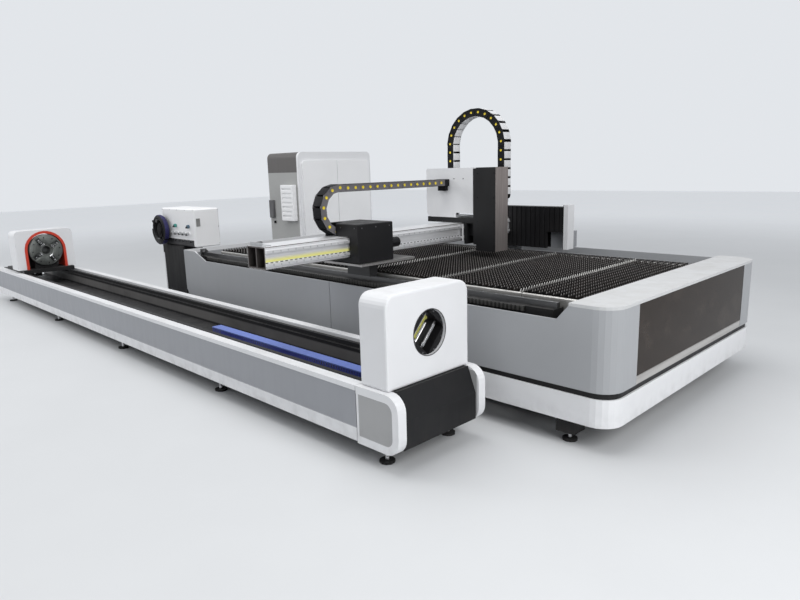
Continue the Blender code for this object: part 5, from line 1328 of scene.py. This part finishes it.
def turned_round(piece, degrees):
    """Turns a piece about the tube axis."""
    spin = Matrix.Translation(CHUCK_MIDDLE) @ Matrix.Rotation(math.radians(degrees), 4, "X")
    piece.data.transform(spin @ Matrix.Translation(-CHUCK_MIDDLE))
    return piece


def quarters():
    plate = drum("quarters", (REAR_FACE + 0.0055, TUBE_Y, TUBE_Z), 0.186, 0.011, "X", 64)
    hole = drum("hole", (REAR_FACE, TUBE_Y, TUBE_Z), 0.072, 0.06, "X", 40)
    upright = cube("upright", (REAR_FACE - 0.01, -1.7635, 0.45), (REAR_FACE + 0.03, -1.7165, 0.95))
    level = cube("level", (REAR_FACE - 0.01, -1.99, 0.6765), (REAR_FACE + 0.03, -1.49, 0.7235))
    carve(plate, hole, upright, level)
    soften(plate, 0.002, 2)
    return coat(turned_round(plate, REAR_ANGLE), disc_finish)


hand_over(quarters(), "rear_disc", "machined_steel")

turns = [REAR_ANGLE + 45 + 90 * quarter + aside for quarter in range(4) for aside in (-18, 18)]
rows = circle(REAR_FACE + 0.011, 0.155, *turns)
screws("face_plate_screws", "rear_disc", rows, black_paint, 0.0075, 0.005)

# %% [markdown]
# A jaw has a long foot that slides in its way and a taller step that grips the tube. The
# foot starts as a cube, is bisected across, and its inner half is extruded into the
# step. Three screws and a pair of small rollers at the tip finish it.

# %% Rear jaws
STEP_END = 0.8225


def rear_jaw(index):
    """A stepped jaw that points inwards, made upright above the axis and then turned."""
    foot_low = (REAR_FACE + 0.0004, TUBE_Y - 0.021, TUBE_Z + 0.075)
    foot_high = (REAR_FACE + 0.026, TUBE_Y + 0.021, TUBE_Z + 0.170)
    jaw = cube("jaw", foot_low, foot_high)
    with editing(jaw):
        bpy.ops.mesh.select_all(action="SELECT")
        bpy.ops.mesh.bisect(plane_co=(0, 0, STEP_END), plane_no=(0, 0, 1))
        pick_faces(lambda middle, normal: normal.x > 0.9 and middle.z < STEP_END)
        inset(0.004)
        pull_out(x=0.021)
        pick_faces(lambda middle, normal: normal.x > 0.9 and middle.z > STEP_END)
        inset(0.006)
        push(x=-0.003)
    coat(soften(jaw, 0.0015, 2), jaw_steel)
    bolts = [facing((REAR_FACE + 0.0465, TUBE_Y, z), FRONT) for z in (0.786, 0.809)]
    bolts += [facing((REAR_FACE + 0.023, TUBE_Y, 0.848), FRONT)]
    heads = coat(repeat(screw(0.0065, 0.005), bolts, "heads"), bright_steel)
    rollers = []
    for x in (REAR_FACE + 0.014, REAR_FACE + 0.036):
        roller = drum("roller", (x, TUBE_Y, 0.779), 0.0075, 0.044, "Y", 16)
        with editing(roller):
            pick_faces(lambda middle, normal: abs(normal.y) > 0.9)
            inset(0.002, -0.001, each=True)
        rollers.append(coat(roller, bright_steel))
    made = join("rear_jaw_%d_stepped" % index, jaw, heads, *rollers)
    turned_round(made, REAR_ANGLE - 90 * (index - 1))
    return hand_over(made, "rear_jaw_" + "abcd"[index - 1], "machined_steel", "rear_jaw_%d" % index)


for index in range(1, 5):
    rear_jaw(index)

# %% [markdown]
# ## The front chuck
#
# The bore of the front chuck is dark, and what shows in it are two jaw bars with rollers
# that turn against the tube. One bar has a brass strip with hooked ends and the other a
# bright steel one. Each jaw is modelled upright about the axis, its strip is laid on
# the front face, and the whole is turned to the angle at which the chuck stands.

# %% Front jaws
CHUCK_ANGLE = -43
JAW_FRONT = 3.275
JAW_REACH = 0.094


def front_jaw(number, side, strip_finish):
    """A bar beside the opening: a dark body, a strip on its face and a roller."""
    low, high = sorted((TUBE_Y + side * 0.0352, TUBE_Y + side * 0.0548))
    body_low = (3.1455, low, TUBE_Z - JAW_REACH)
    body_high = (JAW_FRONT - 0.005, high, TUBE_Z + JAW_REACH)
    body = dish(cube("jaw", body_low, body_high), FRONT, 0.004, 0.002)
    coat(soften(body, 0.002, 2), rail_steel)
    strip_low = (JAW_FRONT - 0.004, low + 0.003, TUBE_Z - 0.072)
    strip = cube("strip", strip_low, (JAW_FRONT, high - 0.003, TUBE_Z + 0.072))
    with editing(strip):
        pick_faces(lambda middle, normal: normal.y * side < -0.9)
        bpy.ops.mesh.subdivide(number_cuts=8)
        pick_faces(lambda middle, normal: normal.y * side < -0.9 and abs(middle.z - TUBE_Z) > 0.055)
        pull_out(y=-side * 0.0075)
    coat(soften(strip, 0.0008, 1), strip_finish)
    roller = drum("roller", (3.215, TUBE_Y + side * 0.0392, TUBE_Z), 0.0085, 0.13, sides=20)
    with editing(roller):
        pick_faces(lambda middle, normal: abs(normal.z) > 0.9)
        inset(0.003, -0.001, each=True)
    coat(roller, bright_steel)
    made = join("front_jaw_%d_bar" % number, body, strip, roller)
    turned_round(made, CHUCK_ANGLE)
    return hand_over(made, "front_jaw_" + "ab"[number - 1], "machined_steel", "front_jaw_%d" % number)


front_jaw(1, -1, brass_strip)
front_jaw(2, 1, bright_steel)

# %% [markdown]
# The chuck's face stands just inside the bore. A ring of screws holds it, and a thin
# black collar hides the gap to the white casing.

# %% Face of the front chuck
rotor_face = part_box("front_chuck_rotor")[1].x
rows = circle(rotor_face, 0.118, *[22.5 + 45 * turn for turn in range(8)])
screws("front_face_screws", "front_rotor", rows, chain_grey, 0.006, 0.004)

collar = drum("bore_collar", (3.3156, TUBE_Y, TUBE_Z), 0.1318, 0.004, "X", 64)
with editing(collar):
    pick_faces(lambda middle, normal: abs(normal.x) > 0.9)
    inset(0.0045)
    bpy.ops.mesh.bridge_edge_loops()
coat(soften(collar, 0.0006, 1), chain_black)
hand_over(collar, "bed", "chain_plastic")

# %% [markdown]
# ## The cable duct
#
# A slotted duct lies in the trough in front of the chuck. Cables leave it between its
# fingers. One finger is a thin cube with a narrow neck at its foot. It is copied along
# both sides of a channel, and a lid with turned-down rims closes the duct.

# %% Slotted duct
def duct():
    low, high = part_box("cable_duct")
    floor_plate = cube("channel", (low.x, low.y, low.z), (high.x, high.y, low.z + 0.003))
    walls = []
    for y in (low.y, high.y - 0.0024):
        walls.append(cube("wall", (low.x, y, low.z), (high.x, y + 0.0024, low.z + 0.030)))
    finger = cube("finger", (-0.0065, low.y, low.z + 0.029), (0.0065, low.y + 0.0024, high.z - 0.006))
    with editing(finger):
        bpy.ops.mesh.select_all(action="SELECT")
        bpy.ops.mesh.bisect(plane_co=(0, 0, low.z + 0.052), plane_no=(0, 0, 1))
        pick_points(lambda p: p.z < low.z + 0.04)
        bpy.ops.transform.resize(value=(0.62, 1, 1), center_override=(0, low.y, low.z))
    count = round((high.x - low.x) / 0.025)
    across = high.y - low.y - 0.0024
    spots = [(x, y, 0) for x in evenly(low.x + 0.0125, high.x - 0.0125, count) for y in (0, across)]
    fingers = repeat(finger, shifts(*spots), "fingers")
    lid = cube("lid", (low.x, low.y - 0.0002, high.z - 0.0035), (high.x, high.y + 0.0002, high.z))
    with editing(lid):
        pick_faces(lambda middle, normal: normal.z < -0.9)
        inset(0.0026)
        push(z=0.0015)
        pick_faces(lambda middle, normal: normal.z < -0.5 and abs(middle.y - (low.y + high.y) / 2) > 0.035)
        pull_out(z=-0.006)
    body = coat(join("duct_body", floor_plate, *walls, fingers), duct_blue)
    made = join("slotted_duct", body, coat(soften(lid, 0.0008, 1), duct_lid))
    return hand_over(made, "bed", "duct_plastic", "cable_duct")


duct()

# %% [markdown]
# ## Connection box, its connectors and the coil's hanger
#
# The box has a row of plugs on its near side, each a ribbed coupling ring with an elbow
# of rubber that turns the cable down. Two larger couplings above are teal and blue.
# The rings are drums whose side faces are inset in turn, which leaves ribs.

# %% Plugs of the connection box
def coupling(radius, length, finish):
    """A ribbed ring that stands on Z = 0."""
    ring = drum("coupling", (0, 0, length / 2), radius, length, sides=16)
    with editing(ring):
        pick_faces(lambda middle, normal: abs(normal.z) < 0.1)
        inset(radius * 0.08, -radius * 0.08, each=True)
        pick_faces(lambda middle, normal: normal.z > 0.9)
        inset(radius * 0.3)
        pull_out(z=length * 0.25)
    return coat(ring, finish)


def elbow(radius):
    """A rubber boot that comes out and bends down, by extruding its end face in steps."""
    boot = drum("elbow", (0, 0, 0.006), radius, 0.012, sides=12)
    with editing(boot):
        pick_faces(lambda middle, normal: normal.z > 0.9)
        centre, turn = Vector((0, 0, 0.012)), math.radians(20)
        for step in range(4):
            bent = turn * (step + 0.5)
            on = Vector((0, -math.sin(bent), math.cos(bent))) * 0.007
            pull_out(*on)
            centre += on
            bpy.ops.transform.rotate(value=-turn, orient_axis="X", center_override=centre)
            bpy.ops.transform.resize(value=(0.95, 0.95, 0.95), center_override=centre)
    return coat(soften(boot, 0, angle=60), rubber)


plug_places = [facing((x, -1.0425, 0.9603), NEAR) for x in evenly(-1.075, -0.735, 5)]
plug = join("plug", coupling(0.0165, 0.022, bar_grey), elbow(0.010))
plugs = repeat(plug, plug_places, "box_plugs")
hand_over(plugs, "bed", "chain_plastic")

large = (("teal_coupling", -1.030, connector_green), ("blue_coupling", -0.740, connector_blue))
for name, x, finish in large:
    piece = join(name, coupling(0.019, 0.022, finish), elbow(0.0135))
    piece.data.transform(facing((x, -1.0302, 1.036), NEAR))
    hand_over(piece, "bed", "chain_plastic")

# %% [markdown]
# On the end of the box there is a recessed grip. On the near side a row of small screws
# follows the lid's rim. The coil hangs on a round black hanger with a dished face, which
# is a drum whose end is inset, pulled in, inset again and pulled out, with a flange
# behind the turns.

# %% Box fittings and hanger
grip = dish(cube("grip", (-0.6150, -1.010, 1.040), (-0.6110, -0.966, 1.122)), FRONT, 0.007, -0.0026)
coat(soften(grip, 0.0012, 2), grip_grey)
hand_over(grip, "bed", "chain_plastic")

rows = along("X", -1.325, -0.635, 5, (0, -1.0302, 1.205), NEAR)
rows += along("Z", 0.845, 1.205, 3, (-0.6148, -0.757, 0), FRONT)
screws("box_screws", "bed", rows, block_steel, 0.0045, 0.0022)

hanger = drum("hanger", (COIL_MIDDLE.x, -1.0685, COIL_MIDDLE.z), 0.086, 0.0745, "Y", 40)
with editing(hanger):
    pick_faces(lambda middle, normal: normal.y < -0.9)
    inset(0.007)
    pull_out(y=0.012)
    inset(0.030)
    pull_out(y=-0.008)
flange = drum("flange", (COIL_MIDDLE.x, -1.0562, COIL_MIDDLE.z), 0.152, 0.006, "Y", 40)
with editing(flange):
    pick_faces(lambda middle, normal: abs(normal.y) > 0.9)
    inset(0.004, -0.001, each=True)
coat(soften(hanger, 0.0015, 2), bar_black)
coat(soften(flange, 0.0008, 1), bar_black)
hanger = join("hanger", hanger, flange)
hand_over(hanger, "bed", "chain_plastic")

# %% [markdown]
# ## Feet
#
# The levelling feet are threaded stems with a round pad and two nuts. The stems are in
# the frames already. The bright hexagon nuts and a sleeve with turned grooves go on
# each, made once and copied to every foot.

# %% Nuts on the feet
def foot_fittings():
    """A stem sleeve with grooves and a nut, about the Z axis, from the floor up."""
    sleeve = drum("sleeve", (0, 0, 0.052), 0.0115, 0.070, sides=14)
    with editing(sleeve):
        for z in evenly(0.030, 0.072, 8):
            bpy.ops.mesh.select_all(action="SELECT")
            bpy.ops.mesh.bisect(plane_co=(0, 0, z), plane_no=(0, 0, 1))
        pick_points(lambda p: 0.029 < p.z < 0.073 and round((p.z - 0.030) / 0.006) % 2 == 1)
        bpy.ops.transform.resize(value=(0.88, 0.88, 1), center_override=(0, 0, 0.05))
    nut = drum("nut", (0, 0, 0.088), 0.021, 0.014, sides=6)
    with editing(nut):
        pick_faces(lambda middle, normal: abs(normal.z) > 0.9)
        inset(0.003, 0.0012, each=True)
    return coat(join("foot", sleeve, nut), bright_steel)


tube_feet = [(x, y, 0) for x in (-3.905, -2.125, -0.345, 1.435, 3.215) for y in (-1.9947, -1.4853)]
plate_feet = [(x, y, 0) for x in (-0.305, 0.7225, 1.75, 2.7775, 3.805) for y in (-1.08, 1.00)]
feet = repeat(foot_fittings(), shifts(*tube_feet, *plate_feet), "foot_fittings")
hand_over(soften(feet, 0, angle=40), "bed", "machined_steel")

# %% [markdown]
# ## Small fittings of the casings
#
# The end caps are held by two screws each. The beam carries a bracket with an end stop
# on its near end. On the head a clamp holds the end of the chain, and a small angle
# piece stands below the white casing.

# %% Caps, beam and covers
rows = []
for y, way in ((-2.0715, NEAR), (-1.4085, FAR)):
    rows += [((3.125, y, 0.290), way), ((3.235, y, 0.275), way)]
screws("cap_screws", "bed", rows, block_steel, 0.006, 0.003)

bracket_low = (1.915, beam_low.y + 0.012, beam_high.z)
bracket = cube("bracket", bracket_low, (2.06, beam_low.y + 0.075, beam_high.z + 0.006))
with editing(bracket):
    pick_faces(lambda middle, normal: normal.y < -0.9)
    pull_out(y=-0.006)
    pick_faces(lambda middle, normal: normal.z > 0.9 and middle.y < beam_low.y + 0.012)
    pull_out(z=0.020)
coat(soften(bracket, 0.0012, 2), bar_grey)
stop = drum("stop", (1.9875, beam_low.y + 0.030, beam_high.z + 0.018), 0.010, 0.036, "Y", 18)
boss(stop, FAR, 0.002, 0.006)
coat(soften(stop, 0.0008, 1), rubber)
hand_over(join("beam_end_stop", bracket, stop), "gantry", "aluminium")

clamp = cube("clamp", (1.857, -0.034, 1.4185), (1.963, 0.0196, 1.4755))
dish(clamp, FRONT, 0.006, -0.001)
boss(clamp, (0, 0, -1), 0.010, 0.040)
coat(soften(clamp, 0.0015, 2), bar_black)
hand_over(clamp, "head", "black_paint")

angle_piece = cube("angle_piece", (2.1165, -0.004, 0.962), (2.1195, 0.0145, 1.098))
with editing(angle_piece):
    pick_faces(lambda middle, normal: normal.z < -0.9)
    pull_out(z=-0.004)
coat(soften(angle_piece, 0.0008, 1), bar_pale)
hand_over(angle_piece, "head", "aluminium")

# %% [markdown]
# The cabinet has one lock, with a swing handle in its plate, on the near door. On its
# near side are a small junction box behind the cooler, a switch below that box, and a
# grille close to the floor, whose slats are one cube copied upwards.

# %% Cabinet fittings
def lock(y):
    """A swing handle in its plate, on the front of a door."""
    plate = cube("lock", (-1.2799, y - 0.018, 0.66), (-1.2762, y + 0.018, 0.84))
    dish(plate, FRONT, 0.006, -0.002)
    coat(soften(plate, 0.0015, 2), chain_grey)
    handle = cube("handle", (-1.2780, y - 0.008, 0.69), (-1.2700, y + 0.008, 0.81))
    with editing(handle):
        pick_faces(lambda middle, normal: normal.x > 0.9)
        bpy.ops.transform.resize(value=(1, 0.6, 0.9))
    coat(soften(handle, 0.0015, 2), block_steel)
    return join("lock", plate, handle)


hand_over(lock(1.440), "door_near", "machined_steel")

grille_bar = cube("bar", (-1.90, 0.8330, -0.004), (-1.72, 0.8392, 0.004))
with editing(grille_bar):
    pick_faces(lambda middle, normal: normal.y < -0.9)
    push(z=-0.004)
grille = repeat(grille_bar, shifts(*[(0, 0, z) for z in evenly(0.20, 0.40, 12)]), "cabinet_grille")
coat(grille, chain_grey)
hand_over(grille, "bed", "chain_plastic")

side_box = cube("side_box", (-1.990, 0.812, 0.955), (-1.890, 0.8398, 1.195))
with editing(side_box):
    pick_faces(lambda middle, normal: normal.y < -0.9)
    inset(0.008)
    pull_out(y=-0.004)
    pick_faces(lambda middle, normal: normal.y < -0.9 and middle.y < 0.81)
    inset(0.012)
    push(y=0.003)
coat(soften(side_box, 0.003, 2), dark_paint)
hand_over(side_box, "bed", "dark_grey_paint")

switch = cube("side_switch", (-1.915, 0.826, 0.880), (-1.880, 0.8398, 0.915))
boss(switch, NEAR, 0.007, 0.006)
coat(soften(switch, 0.0012, 2), bar_black)
hand_over(switch, "bed", "chain_plastic")
